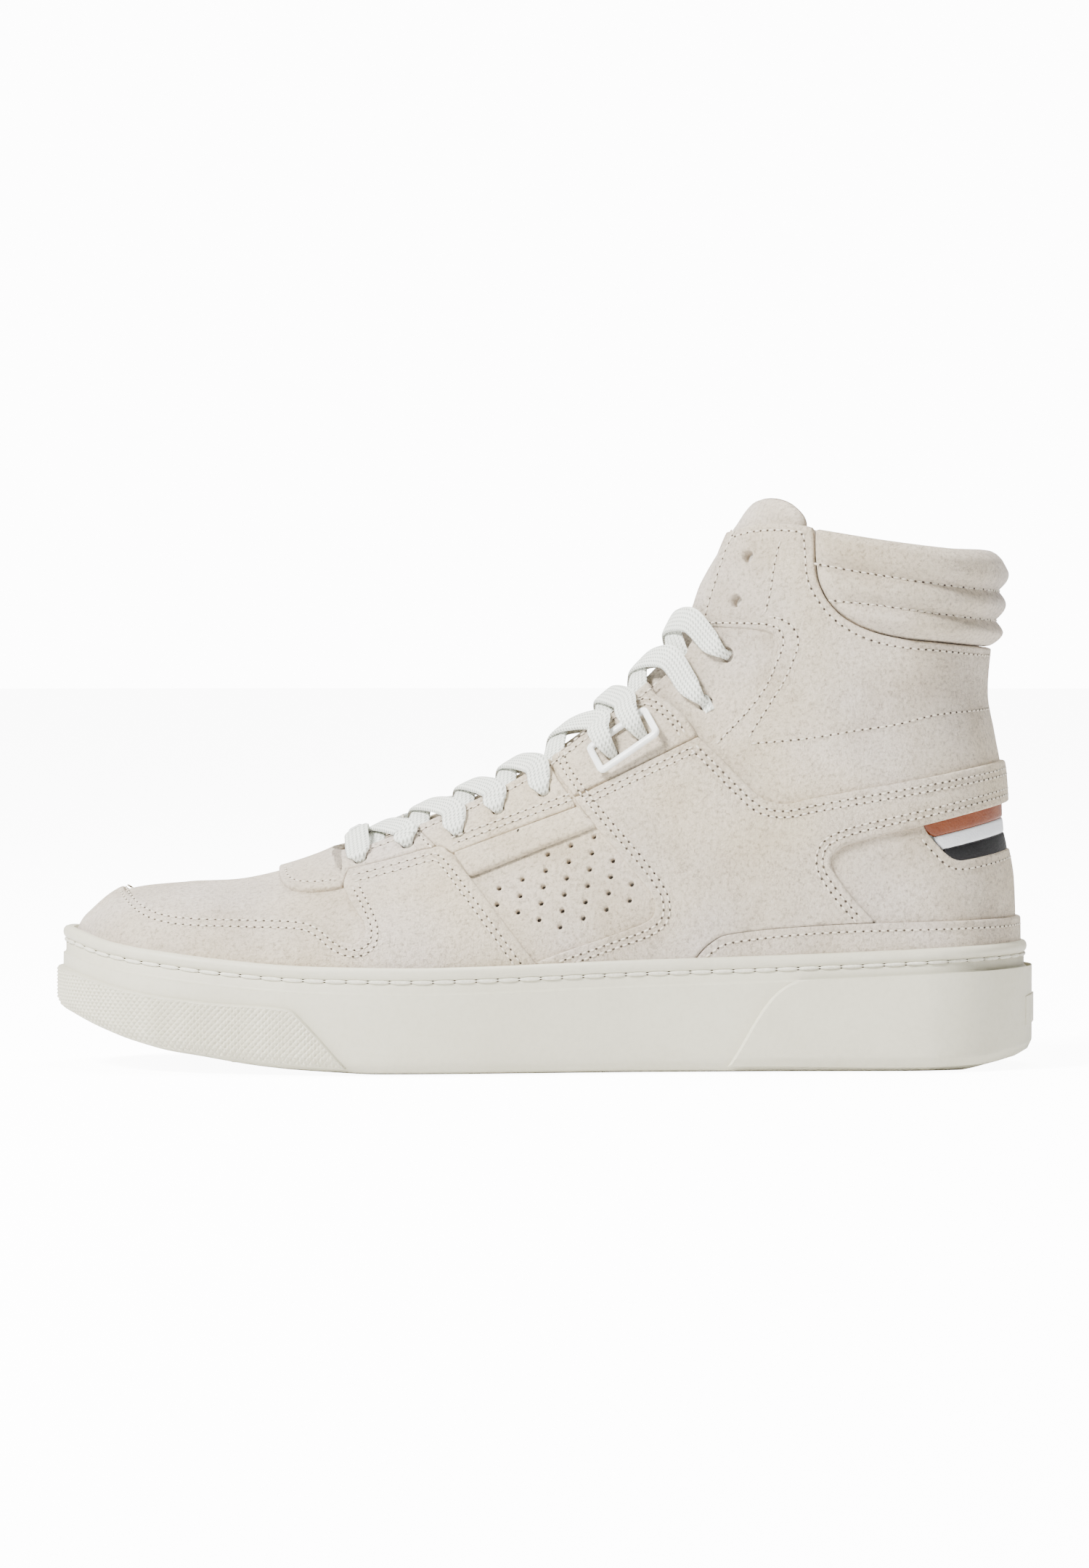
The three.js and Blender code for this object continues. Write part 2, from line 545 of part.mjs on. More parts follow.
const BAR_FLAT = 7;             // half length of the straight middle of the first row
function firstRow(room) {
  const { at, up } = ridgeFrame(throatSpot(0, -1));
  const half = (side) => [
    ...eyeletRun(0, side),
    stop(at.clone().addScaledVector(up, 0.8).setY(THROAT_Y + side * BAR_FLAT), up),
  ];
  return ribbon([...half(-1), ...half(1).reverse()], room);
}

// The whole lace; room is how far every face stands off, for cutting its passage.
function makeLace(room = 0) {
  let lace = firstRow(room);
  for (let k = 1; k < LACED; k += 1) {
    lace = lace.add(crossing(k, 1, 0, room)).add(crossing(k, -1, 1, room));
  }
  return lace;
}

function makeKeeper() {
  const { at, up } = ridgeFrame(throatSpot(0, -1));
  const box = (x, y, z) => new THREE.BoxGeometry(x, y, z);
  const place = (geometry) => {
    geometry.rotateY(Math.atan2(up.x, up.z));
    const middle = at.clone().addScaledVector(up, 0.8);
    geometry.translate(middle.x, middle.y, middle.z);
    return toSolid(geometry);
  };
  const outer = place(box(LACE_W + 2.4, 5, LACE_T + 2.6));
  return outer.subtract(place(box(LACE_W + 0.8, 6, LACE_T + 1)));
}

// Flat rectangular frame lying on the ring stay around the two lace runs of rows 5 and 6.
function makeLaceRing(side) {
  const middle = mix(EYELETS[5], EYELETS[6], 0.5);
  const high = outward(middle, side);
  const along3 = new THREE.Vector3()
    .subVectors(onSkin(EYELETS[6], side, 0), onSkin(EYELETS[5], side, 0)).normalize();
  const across = new THREE.Vector3().crossVectors(high, along3).normalize();
  const basis = new THREE.Matrix4().makeBasis(along3, across, new THREE.Vector3().crossVectors(along3, across));
  basis.setPosition(onSkin(middle, side, -2.5));
  const frame = (length, width, thick) => toSolid(new THREE.BoxGeometry(length, width, thick).applyMatrix4(basis));
  return frame(23, 14, 1.8).subtract(frame(18.5, 9.5, 4));
}

// ---- parts ---------------------------------------------------------------------------
const PERFORATION = { at: [14.6, 73.4], a: [-7.1, -2.7], b: [6.5, -2.35], radius: 0.65, facets: 4 };

function perforate(solid, side) {
  let cut = solid;
  const { at, a, b, radius, facets } = PERFORATION;
  for (let i = 0; i < 6; i += 1) {
    for (let j = -4; j < 5; j += 1) {
      const spot = [at[0] + i * a[0] + j * b[0], at[1] + i * a[1] + j * b[1]];
      if (insidePanel(spot)) cut = cut.subtract(rod(onSkin(spot, side, -1), onSkin(spot, side, 4), radius, facets));
    }
  }
  return cut;
}

// The perforated window between the mudguard, the side strip and the saddle.
const WINDOW = [[-19, 57.5], [14.5, 71.5], [28, 56], [30, 51], [22, 46.5], [0, 39]];
function insidePanel([x, z]) {
  return WINDOW.every(([ax, az], i) => {
    const [bx, bz] = WINDOW[(i + 1) % WINDOW.length];
    return (bx - ax) * (z - az) - (bz - az) * (x - ax) < 0;
  });
}

function makeLining() {
  const sleeve = shell(LINING).intersect(sidePrism(LINING_OUTLINE, -WIDE, WIDE));
  const open = sleeve.subtract(THROAT_CUT);
  return SIDES.reduce((solid, [name, side]) => drillEyelets(solid, side, LACED, 11, 1.7), open);
}

function makeTongue() {
  const pad = foot(TONGUE[0]).subtract(foot(TONGUE[1], 8));
  const low = pad.intersect(sidePrism(TONGUE_LOW, -WIDE, WIDE));
  const crown = foot(5).subtract(foot(TONGUE[0] + 1, 8))
    .intersect(sidePrism([[-64, 50], [-64, 95], [20, 133.7], [80, 133.7], [48, 104], [-15, 65]],
      THROAT_Y - THROAT_HALF + 3.5, THROAT_Y + THROAT_HALF - 3.5));
  return low.add(crown);
}

function makeTongueTop() {
  const pad = foot(TONGUE[0]).subtract(foot(TONGUE[1], 8));
  return pad.intersect(sidePrism(TONGUE_TOP, -WIDE, WIDE));
}

function makeCollarPad() {
  const pad = foot(-0.4).subtract(foot(9, 8));
  return pad.intersect(sidePrism(COLLAR, -WIDE, WIDE));
}

const clear = (outline) => sidePrism(grow(outline, GAP), -WIDE, WIDE);
const LACE_ROOM = makeLace(0.25);
const parts = [];
function add(name, solid, color, roughness = 0.95) {
  parts.push({ name, solid: meshSolid(solid), color, roughness });
}

const SUEDE = 0xe0dad0;
const RUBBER = 0xd8d6cd;
const WHITE = 0xe8eae4;

add('cupsole', makeCupsole(), RUBBER, 0.6);
add('toe_bumper', wrapShell().intersect(sidePrism(BUMPER, -WIDE, WIDE)), RUBBER, 0.6);
add('heel_wrap', wrapShell().intersect(sidePrism(HEEL_WRAP, -WIDE, WIDE)), RUBBER, 0.6);
add('heel_plate', makeHeelPlate(), RUBBER, 0.6);
add('midsole_foam', planSolid([[4.9, bottom(FLOOR + GAP)], [4.9, cupFloor(-3.3)]]), WHITE);
add('strobel_board', planSolid([[6.6, cupFloor(-3)], [6.6, cupFloor(-1.3)]]), WHITE);
add('footbed', planSolid([[14, cupFloor(-1)], [13.6, cupFloor(4)]]), WHITE);
add('lining_sock', makeLining().subtract(LACE_ROOM), WHITE);
add('toe_puff', panel(STIFFENER, PUFF), WHITE);
add('heel_counter', panel(STIFFENER, COUNTER), WHITE);
add('vamp', SIDES.reduce((solid, [, side]) => drillEyelets(solid, side, 0, 2, HOLE_UNDER), panel(BASE, VAMP))
  .subtract(INNER_THROAT_CUT).subtract(LACE_ROOM), SUEDE);
add('throat_tab', panel(OVERLAY, THROAT_TAB).subtract(THROAT_CUT).subtract(clear(FRONT_STAY)), SUEDE);
add('mudguard', panel(OVERLAY, MUDGUARD), SUEDE);
add('heel_overlay', panel(BASE, HEEL_OVERLAY), SUEDE);
add('heel_foxing', panel(OVERLAY, FOXING), SUEDE);
add('stripe_tan', panel(BASE, STRIPE_TAN), 0xa07050);
add('stripe_white', panel(BASE, STRIPE_WHITE), WHITE);
add('stripe_black', panel(BASE, STRIPE_BLACK), 0x232323);
add('collar_pad', makeCollarPad(), SUEDE);
add('tongue', makeTongue(), SUEDE);
add('tongue_top', makeTongueTop(), SUEDE);
add('lace', makeLace(), WHITE);
add('lace_keeper', makeKeeper(), WHITE, 0.4);

for (const [name, side] of SIDES) {
  const half = (layer, outline) => panel(layer, outline, side).subtract(THROAT_CUT);
  const inner = (outline) => panel(BASE, outline, side).subtract(INNER_THROAT_CUT).subtract(LACE_ROOM);
  add(`front_stay_${name}`, drillEyelets(half(OVERLAY, FRONT_STAY), side, 0, 2), SUEDE);
  add(`eyestay_${name}`, drillEyelets(half(OVERLAY, EYESTAY), side, 2, 5), SUEDE);
  add(`side_strip_${name}`, half(OVERLAY, STRIP), SUEDE);
  add(`ring_stay_${name}`, drillEyelets(half(OVERLAY, RING_STAY), side, 5, 7), SUEDE);
  add(`lace_ring_${name}`, makeLaceRing(side), WHITE, 0.4);
  add(`saddle_${name}`, half(OVERLAY, SADDLE), SUEDE);
  add(`side_panel_${name}`, perforate(drillEyelets(inner(SIDE_PANEL), side, 2, 7, HOLE_UNDER), side), SUEDE);
  add(`ankle_quarter_${name}`, drillEyelets(half(BASE, QUARTER), side, LACED, 11, 1.7), SUEDE);
  add(`ankle_inset_${name}`, drillEyelets(inner(INSET), side, 7, LACED, HOLE_UNDER), SUEDE);
}

function toMesh({ name, solid, color, roughness }) {
  const { vertProperties, triVerts } = solid.getMesh();
  const geometry = new THREE.BufferGeometry();
  geometry.setAttribute('position', new THREE.Float32BufferAttribute(vertProperties, 3));
  geometry.setIndex([...triVerts]);
  geometry.computeVertexNormals();
  const mesh = new THREE.Mesh(geometry, new THREE.MeshStandardMaterial({ color, roughness }));
  mesh.name = name;
  return mesh;
}

const shoe = new THREE.Group();
shoe.name = 'basketball_high_top';
shoe.add(...parts.map(toMesh));
export default shoe;
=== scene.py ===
"""Looks for the suede high top: fine panels, stitching, laces, padded collar and tongue, cup sole."""

import math

import bmesh
import bpy
import numpy as np
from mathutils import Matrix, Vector
from mathutils.kdtree import KDTree


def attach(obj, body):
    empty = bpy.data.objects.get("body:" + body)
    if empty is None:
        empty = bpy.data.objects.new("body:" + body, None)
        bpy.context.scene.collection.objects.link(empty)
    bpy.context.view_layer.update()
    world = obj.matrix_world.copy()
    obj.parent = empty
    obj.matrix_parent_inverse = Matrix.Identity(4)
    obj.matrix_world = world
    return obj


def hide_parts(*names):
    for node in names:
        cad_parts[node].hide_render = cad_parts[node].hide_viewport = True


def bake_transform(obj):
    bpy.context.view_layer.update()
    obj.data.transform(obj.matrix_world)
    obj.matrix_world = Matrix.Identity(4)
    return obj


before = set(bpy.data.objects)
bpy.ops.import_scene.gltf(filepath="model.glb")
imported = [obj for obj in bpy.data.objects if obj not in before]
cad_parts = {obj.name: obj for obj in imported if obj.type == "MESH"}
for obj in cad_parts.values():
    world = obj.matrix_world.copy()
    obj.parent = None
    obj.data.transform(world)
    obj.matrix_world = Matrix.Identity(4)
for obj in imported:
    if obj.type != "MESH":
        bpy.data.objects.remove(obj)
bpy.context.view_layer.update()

# ---- driving dimensions, millimetres; FAR stands for any distance past the last ring ----
MM = 0.001
TOE_X = -146.7
TOE_ROUND = 48.0
HEEL_ROUND = 36.0
HALF_LENGTH = 152.4
THROAT_HALF = 13.0
THROAT_Y = -2.0
THROAT_FRONT = -53.0
THROAT_BACK = 100.0
THROAT_BOTTOM = 50.0
OVERLAY, BASE, INSET = 0.0, 1.6, 2.5
STRIPE_DEPTH = 2.35
COLLAR_VALLEY = 0.6
LINING_OUT, LINING_IN = 4.5, 6.3
STEP = 0.95
GRID_GIRTH = 96.0
STITCH_PITCH = 2.5
FAR = 9.0
SIDES = (("lateral", -1), ("medial", 1))

SECTIONS = np.array([
    [-146.7, 31.0, -146.7, 42.3, 44, 44, 43, 42, 2.4],
    [-143.5, 30.0, -143.2, 47.4, 44, 44, 43, 42, 2.4],
    [-133.0, 27.8, -131.5, 56.0, 44, 44, 43, 42, 2.4],
    [-115.0, 25.5, -112.0, 58.7, 44, 43.5, 42, 40, 2.4],
    [-95.0, 23.5, -93.0, 60.0, 46, 45.5, 42.5, 40, 2.4],
    [-70.0, 22.0, -72.0, 65.8, 49.5, 48, 42, 36, 2.5],
    [-45.0, 21.5, -54.0, 74.5, 50, 47.5, 39, 30, 2.7],
    [-18.0, 21.5, -35.0, 83.5, 45.5, 43.5, 35, 26, 3],
    [10.0, 22.0, -12.0, 94.5, 41, 40, 33, 24, 3.4],
    [40.0, 23.5, 8.0, 108.0, 38.5, 38, 33.5, 25, 3.8],
    [75.0, 25.0, 24.0, 121.0, 36.5, 37, 34.5, 27, 4.2],
    [110.0, 26.5, 34.0, 131.0, 36, 36.5, 35, 28, 4.5],
    [135.0, 27.5, 38.5, 138.0, 36, 36.5, 35.5, 29, 4.5],
    [149.0, 28.0, 41.0, 144.0, 36, 36.5, 35.5, 30, 4.5],
    [149.2, 50.0, 43.0, 150.0, 35, 36, 35.5, 31, 4.5],
    [146.0, 74.0, 45.5, 156.0, 34.5, 35.5, 35.5, 31, 4.5],
    [142.5, 104.0, 49.0, 163.0, 34.5, 35.5, 36, 32, 4.5],
    [141.2, 130.0, 54.0, 172.0, 35.5, 36.5, 36.5, 33, 4.5],
    [144.0, 158.0, 62.0, 184.0, 37, 38, 37.5, 34, 4.5],
    [145.0, 176.0, 70.0, 198.0, 37, 38, 37.5, 34, 4.5]])
LAST_RIM = 13
BACK = np.array([[20, 149], [42, 149.2], [60, 148.5], [74, 146], [92, 144.7], [105, 142.3],
                 [116, 140.4], [133, 141.7], [160, 144], [180, 145]])
CENTRE = np.array([[-152, 6], [-130, 3], [-105, 1.5], [-75, 0.5], [-45, -1], [-10, -3],
                   [30, -2.5], [70, -1.5], [110, -0.5], [135, 0], [153, 0]])
SOLE_HALF = np.array([[-152, 44], [-130, 44.5], [-105, 47.5], [-75, 53.5], [-45, 54], [-10, 48],
                      [30, 42], [70, 40], [110, 39.7], [153, 38]])
RIM_Z = np.array([[-152, 43.3], [-140, 40.2], [-129, 38.2], [-105, 35.5], [-82, 33.6],
                  [-58, 33], [-29, 33], [26, 34.8], [80, 36.4], [153, 39.2]])
BOTTOM_Z = np.array([[-153, 16.6], [-136, 10.5], [-123, 6.8], [-109, 4.8], [-95, 2.7],
                     [-82, 1.4], [-68, 0.6], [-55, 0], [-20, 0], [134, 0], [148, 2.4], [153, 3.6]])
EYELETS = [(-57.4, 65.2), (-42.7, 70.1), (-27.1, 73.7), (-14.6, 80.8), (-0.4, 86.5),
           (20.9, 97.8), (30.2, 103.6), (47.9, 115), (54.6, 129.3), (58.1, 146), (61.7, 159.9)]
LACED = 9


# ---- the foot shape, the same formula as the solids ----
def spline(p0, p1, p2, p3, t):
    """Catmull-Rom value between p1 and p2."""
    return 0.5 * (2 * p1 + t * ((p2 - p0) + t * ((2 * p0 - 5 * p1 + 4 * p2 - p3)
                                                 + t * (3 * p1 - p0 - 3 * p2 + p3))))


def catmull(values, u):
    values = np.asarray(values, float)
    last = len(values) - 1
    i = np.clip(np.floor(u).astype(int), 0, last - 1)
    return spline(*(values[np.clip(i + k, 0, last)] for k in (-1, 0, 1, 2)), u - i)


def curve(table, key):
    key = np.asarray(key, float)
    i = np.clip(np.searchsorted(table[:, 0], key, side="left") - 1, 0, len(table) - 2)
    t = (key - table[i, 0]) / (table[i + 1, 0] - table[i, 0])
    return catmull(table[:, 1], i + np.clip(t, 0, 1))


def round_off(t):
    t = np.clip(t, 0, 1)
    return np.sqrt(t * (2 - t))


def section_ends(u):
    bx, bz, tx, tz = (catmull(SECTIONS[:, k], u) for k in range(4))
    return np.where(u >= LAST_RIM, curve(BACK, bz), bx), bz, tx, tz


def skin(u, v, depth):
    """Points at section u and v (-1 lateral base, 0 ridge, 1 medial base), at a depth."""
    u, v, depth = np.broadcast_arrays(*(np.asarray(value, float) for value in (u, v, depth)))
    s = (1 - np.cos(math.pi * (1 - np.abs(v)))) / 2
    bx, bz, tx, tz = section_ends(u)
    ax, az = section_ends(np.maximum(0, u - 0.05))[2:]
    cx, cz = section_ends(np.minimum(len(SECTIONS) - 1, u + 0.05))[2:]
    size = np.hypot(cx - ax, cz - az)
    nx, nz = -(cz - az) / size, (cx - ax) / size
    x0 = bx + (tx - bx) * s
    z0 = bz + (tz - bz) * s
    toe = round_off((bx - TOE_X) / TOE_ROUND)
    heel = np.where(u >= LAST_RIM, 0, round_off((curve(BACK, bz) - bx) / HEEL_ROUND))
    shift_x = bx + depth * (heel - toe)
    rx, rz = tx - depth * nx, tz - depth * nz
    widths = np.stack([catmull(SECTIONS[:, k], u) for k in (4, 5, 6, 7)])
    half = blend_widths(widths, 3 * s) - depth
    top = np.sqrt(np.maximum(0, 1 - s ** catmull(SECTIONS[:, 8], u)))
    front = round_off((x0 - TOE_X) / TOE_ROUND)
    back = round_off((curve(BACK, z0) - x0) / HEEL_ROUND)
    back = np.where((s < 1e-9) & (u >= LAST_RIM), 0, back)
    y = curve(CENTRE, x0) + np.sign(v) * half * top * front * back
    return np.stack([shift_x + (rx - shift_x) * s, y, bz + (rz - bz) * s], -1)


def blend_widths(widths, u):
    """The half width at u, 0 to 3, between each point's four widths."""
    i = np.clip(np.floor(u).astype(int), 0, 2)
    near = (np.take_along_axis(widths, np.clip(i + k, 0, 3)[None], 0)[0] for k in (-1, 0, 1, 2))
    return spline(*near, u - i)


def skin_at(uv, depth):
    return skin(uv[:, 0], uv[:, 1], depth)


def locate(xz, side):
    """(u, v, s) of side-view points on one side; s is 0 at the sole cup and 1 at the ridge."""
    xz = np.atleast_2d(np.asarray(xz, float))
    lo = np.zeros(len(xz))
    hi = np.full(len(xz), len(SECTIONS) - 1.0)
    for _ in range(34):
        u = (lo + hi) / 2
        bx, bz, tx, tz = section_ends(u)
        ahead = (tx - bx) * (xz[:, 1] - bz) - (tz - bz) * (xz[:, 0] - bx) > 0
        hi = np.where(ahead, u, hi)
        lo = np.where(ahead, lo, u)
    bx, bz, tx, tz = section_ends(lo)
    s = ((xz[:, 0] - bx) * (tx - bx) + (xz[:, 1] - bz) * (tz - bz)) / ((tx - bx) ** 2 + (tz - bz) ** 2)
    v = 1 - np.arccos(1 - 2 * np.clip(s, 0, 1)) / math.pi
    return lo, side * v, s


def on_skin(xz, side, depth):
    u, v, _ = locate(xz, side)
    return skin(u, v, depth)


def outward(xz, side):
    return unit(on_skin(xz, side, -2) - on_skin(xz, side, 2))


# ---- lines ----
def unit(v):
    """Vectors brought to length 1."""
    return v / (np.linalg.norm(v, axis=-1, keepdims=True) + 1e-9)


def run_length(p):
    """Length along a line of points, from 0."""
    return np.concatenate([[0], np.cumsum(np.linalg.norm(np.diff(p, axis=0), axis=1))])


def at_lengths(p, length, at):
    """Points at the given lengths along a line."""
    return np.stack([np.interp(at, length, p[:, k]) for k in range(3)], 1)


def smooth_line(points, closed=True, step=0.8, corner=48):
    """A spline through the points that keeps corners sharper than `corner` degrees."""
    p = np.asarray(points, float)
    n = len(p)
    before, after = np.roll(p, 1, 0), np.roll(p, -1, 0)
    a, b = p - before, after - p
    turn = np.abs(np.degrees(np.arctan2(a[:, 0] * b[:, 1] - a[:, 1] * b[:, 0], (a * b).sum(1))))
    sharp = turn > corner
    if not closed:
        sharp[0] = sharp[-1] = True
    tangent = unit(after - before)
    out = []
    for i in range(n if closed else n - 1):
        j = (i + 1) % n
        length = np.linalg.norm(p[j] - p[i])
        chord = (p[j] - p[i]) / (length + 1e-9)
        m0 = (chord if sharp[i] else tangent[i]) * length
        m1 = (chord if sharp[j] else tangent[j]) * length
        t = np.linspace(0, 1, max(2, int(length / step) + 1))[:-1, None]
        out.append((2 * t**3 - 3 * t**2 + 1) * p[i] + (t**3 - 2 * t**2 + t) * m0
                   + (3 * t**2 - 2 * t**3) * p[j] + (t**3 - t**2) * m1)
    if not closed:
        out.append(p[-1:])
    return np.concatenate(out)


def distance_to(points, line, closed=False, reach=6.0):
    """Distance from the points to the line, no further than reach."""
    order = np.argsort(points[:, 0])
    p = points[order]
    best = np.full(len(p), reach)
    a = line if closed else line[:-1]
    b = np.roll(line, -1, 0) if closed else line[1:]
    first = np.searchsorted(p[:, 0], np.minimum(a[:, 0], b[:, 0]) - reach)
    last = np.searchsorted(p[:, 0], np.maximum(a[:, 0], b[:, 0]) + reach)
    for i, j, start, end in zip(first, last, a, b):
        near = p[i:j]
        along = end - start
        t = np.clip((near - start) @ along / (along @ along + 1e-12), 0, 1)
        gap = near - start - t[:, None] * along
        best[i:j] = np.minimum(best[i:j], np.hypot(gap[:, 0], gap[:, 1]))
    out = np.empty(len(p))
    out[order] = best
    return out


def signed_distance(points, line):
    """Negative inside the closed line. Points far off all get the value FAR."""
    low, high = line.min(0) - 3, line.max(0) + 3
    near = ((points > low) & (points < high)).all(1)
    out = np.full(len(points), FAR)
    p = points[near]
    d = distance_to(p, line, True)
    a, b = line, np.roll(line, -1, 0)
    inside = np.zeros(len(p), bool)
    for (x0, z0), (x1, z1) in zip(a, b):
        if z0 != z1:
            crossing = (p[:, 1] < z0) != (p[:, 1] < z1)
            inside ^= crossing & (p[:, 0] < x0 + (p[:, 1] - z0) * (x1 - x0) / (z1 - z0))
    out[near] = np.where(inside, -d, d)
    return out


def shift_line(line, offset):
    """An open polyline moved sideways (positive to its left)."""
    tangent = unit(np.gradient(line, axis=0))
    return line + offset * np.stack([-tangent[:, 1], tangent[:, 0]], 1)


# ---- fine grid over the whole upper, and cutting it ----
def grid_cells(rows, columns):
    """The first corner of every cell of a grid that is numbered row by row."""
    i, j = np.meshgrid(np.arange(rows - 1), np.arange(columns - 1), indexing="ij")
    return (i * columns + j).ravel()


def build_grid():
    """Sections and girths about STEP apart: the (u, v) of each point, and the triangles."""
    dense = np.linspace(0, len(SECTIONS) - 1, 1600)
    steps = np.zeros(len(dense) - 1)
    for v in (0.0, 0.35, 0.6, 0.8, 1.0):
        p = skin(dense, -v, 0)
        steps = np.maximum(steps, np.linalg.norm(np.diff(p, axis=0), axis=1))
    length = np.concatenate([[0], np.cumsum(steps)])
    u = np.interp(np.linspace(0, length[-1], int(length[-1] / STEP)), length, dense)
    v = np.linspace(-1, 1, 2 * int(GRID_GIRTH / STEP) + 1)
    uu, vv = np.meshgrid(u, v, indexing="ij")
    a = grid_cells(len(u), len(v))
    b, c, d = a + 1, a + len(v) + 1, a + len(v)
    tris = np.concatenate([np.stack([a, b, c], 1), np.stack([a, c, d], 1)])
    return np.stack([uu.ravel(), vv.ravel()], 1), tris


GRID_UV, GRID_TRIS = build_grid()
GRID_P = skin_at(GRID_UV, 0)


def throat_field(p):
    """Positive inside the throat, in millimetres from its edge."""
    ahead = np.maximum(0, THROAT_FRONT - p[:, 0])
    high = (p[:, 2] > THROAT_BOTTOM) & (p[:, 0] < THROAT_BACK)
    return np.where(high, THROAT_HALF - np.hypot(ahead, p[:, 1] - THROAT_Y), -FAR)


def split(uv, tris, f, iso):
    """Cuts every triangle where f crosses iso, and adds the points on the cut."""
    g = f - iso
    g = np.where(np.abs(g) < 1e-7, 1e-7, g)
    up = g[tris] > 0
    count = up.sum(1)
    cut = (count == 1) | (count == 2)
    t = tris[cut]
    lone = np.where(count[cut] == 1, up[cut].argmax(1), (~up[cut]).argmax(1))
    row = np.arange(len(t))
    a, b, c = (t[row, (lone + k) % 3] for k in range(3))
    pairs = np.sort(np.concatenate([np.stack([a, b], 1), np.stack([a, c], 1)]), 1)
    edges, where = np.unique(pairs, axis=0, return_inverse=True)
    where = where.ravel()
    i, j = edges.T
    share = (g[i] / (g[i] - g[j]))[:, None]
    new_uv = uv[i] + share * (uv[j] - uv[i])
    p = len(uv) + where[:len(t)]
    q = len(uv) + where[len(t):]
    parts = [np.stack(corners, 1) for corners in ((a, p, q), (p, b, c), (p, c, q))]
    f = np.concatenate([f, np.full(len(edges), iso)])
    return np.concatenate([uv, new_uv]), np.concatenate([tris[~cut]] + parts), f


def triangle_edges(tris):
    """The three edges of every triangle, the lower point first."""
    return np.sort(np.concatenate([tris[:, [0, 1]], tris[:, [1, 2]], tris[:, [2, 0]]]), 1)


def refine(uv, tris, mask):
    """Splits the marked triangles into four, and their neighbours so that no gap opens."""
    corners = np.sort(np.stack([tris[:, [0, 1]], tris[:, [1, 2]], tris[:, [2, 0]]], 1), 2)
    codes = corners[..., 0] * len(uv) + corners[..., 1]
    for _ in range(20):
        hits = np.isin(codes, codes[mask])
        grow = (hits.sum(1) >= 2) & ~mask
        if not grow.any():
            break
        mask = mask | grow
    t = tris[mask]
    edges, where = np.unique(triangle_edges(t), axis=0, return_inverse=True)
    where = where.ravel() + len(uv)
    n = len(t)
    m0, m1, m2 = where[:n], where[n:2 * n], where[2 * n:]
    a, b, c = t.T
    quarters = ((a, m0, m2), (m0, b, m1), (m2, m1, c), (m0, m1, m2))
    new = np.concatenate([np.stack(corners, 1) for corners in quarters])
    side = ~mask & (hits.sum(1) == 1)
    k = hits[side].argmax(1)
    row = np.arange(side.sum())
    a, b, c = (tris[side][row, (k + step) % 3] for step in range(3))
    edge_codes = edges[:, 0] * len(uv) + edges[:, 1]
    m = np.searchsorted(edge_codes, codes[side][row, k]) + len(uv)
    halves = np.concatenate([np.stack([a, m, c], 1), np.stack([m, b, c], 1)])
    return (np.concatenate([uv, (uv[edges[:, 0]] + uv[edges[:, 1]]) / 2]),
            np.concatenate([tris[~mask & ~side], new, halves]))


def compact(uv, tris, f):
    """Leaves out the points that no triangle uses."""
    used, index = np.unique(tris, return_inverse=True)
    return uv[used], index.reshape(-1, 3), f[used]


def grid_near(line, side):
    """The part of the grid in and around a closed line, on one side or on both (0)."""
    flat = GRID_P[:, [0, 2]]
    keep = ((flat > line.min(0) - 2) & (flat < line.max(0) + 2)).all(1)
    if side:
        keep &= GRID_UV[:, 1] * side >= 0
    return compact(GRID_UV, GRID_TRIS[keep[GRID_TRIS].all(1)], GRID_P[:, 0])[:2]


def hole_gap(uv, spots):
    """Distance from each point to the nearest hole's centre."""
    return np.min(np.linalg.norm(skin_at(uv, 0)[:, None] - spots, axis=2), 1)


def panel_patch(outline, side=0, rings=(0.0,), throat=True, holes=(), radius=1.0):
    """The grid cut to an outline: (uv, tris, f), with points on every ring of f."""
    line = smooth_line(outline)
    uv, tris = grid_near(line, side)
    sides = (side,) if side else (-1, 1)
    spots = np.array([on_skin(hole, one, 0)[0] for hole in holes for one in sides])
    if len(spots):
        for reach in (1.76, 1.2):
            near = np.abs(hole_gap(uv, spots) - radius)[tris].min(1) < reach
            uv, tris = refine(uv, tris, near)
    p = skin_at(uv, 0)
    f = signed_distance(p[:, [0, 2]], line)
    if throat:
        f = np.maximum(f, throat_field(p))
    if len(spots):
        f = np.maximum(f, radius - hole_gap(uv, spots))
    for iso in rings:
        uv, tris, f = split(uv, tris, f, iso)
    inside = f[tris].mean(1) < 1e-9
    return compact(uv, tris[inside], f)


# ---- meshes ----
def make_mesh(name, points, faces, material, smooth=38, weld=None, uv=None):
    """An object from points in millimetres. Edges that turn more than smooth degrees stay sharp."""
    mesh = bpy.data.meshes.new(name)
    mesh.from_pydata((np.asarray(points) * MM).tolist(), [], [list(map(int, q)) for q in faces])
    obj = bpy.data.objects.new(name, mesh)
    bpy.context.scene.collection.objects.link(obj)
    mesh.materials.append(material)
    if uv is not None:
        layer = mesh.uv_layers.new(name="thread")
        loops = np.zeros(len(mesh.loops), np.int32)
        mesh.loops.foreach_get("vertex_index", loops)
        layer.data.foreach_set("uv", np.asarray(uv, float)[loops].ravel())
    if weld:
        weld_points(mesh, weld)
    mesh.shade_smooth()
    mesh.set_sharp_from_angle(angle=math.radians(smooth))
    mesh.update()
    return obj


def weld_points(mesh, distance):
    bm = bmesh.new()
    bm.from_mesh(mesh)
    bmesh.ops.remove_doubles(bm, verts=bm.verts, dist=distance * MM)
    bmesh.ops.recalc_face_normals(bm, faces=bm.faces)
    bm.to_mesh(mesh)
    bm.free()


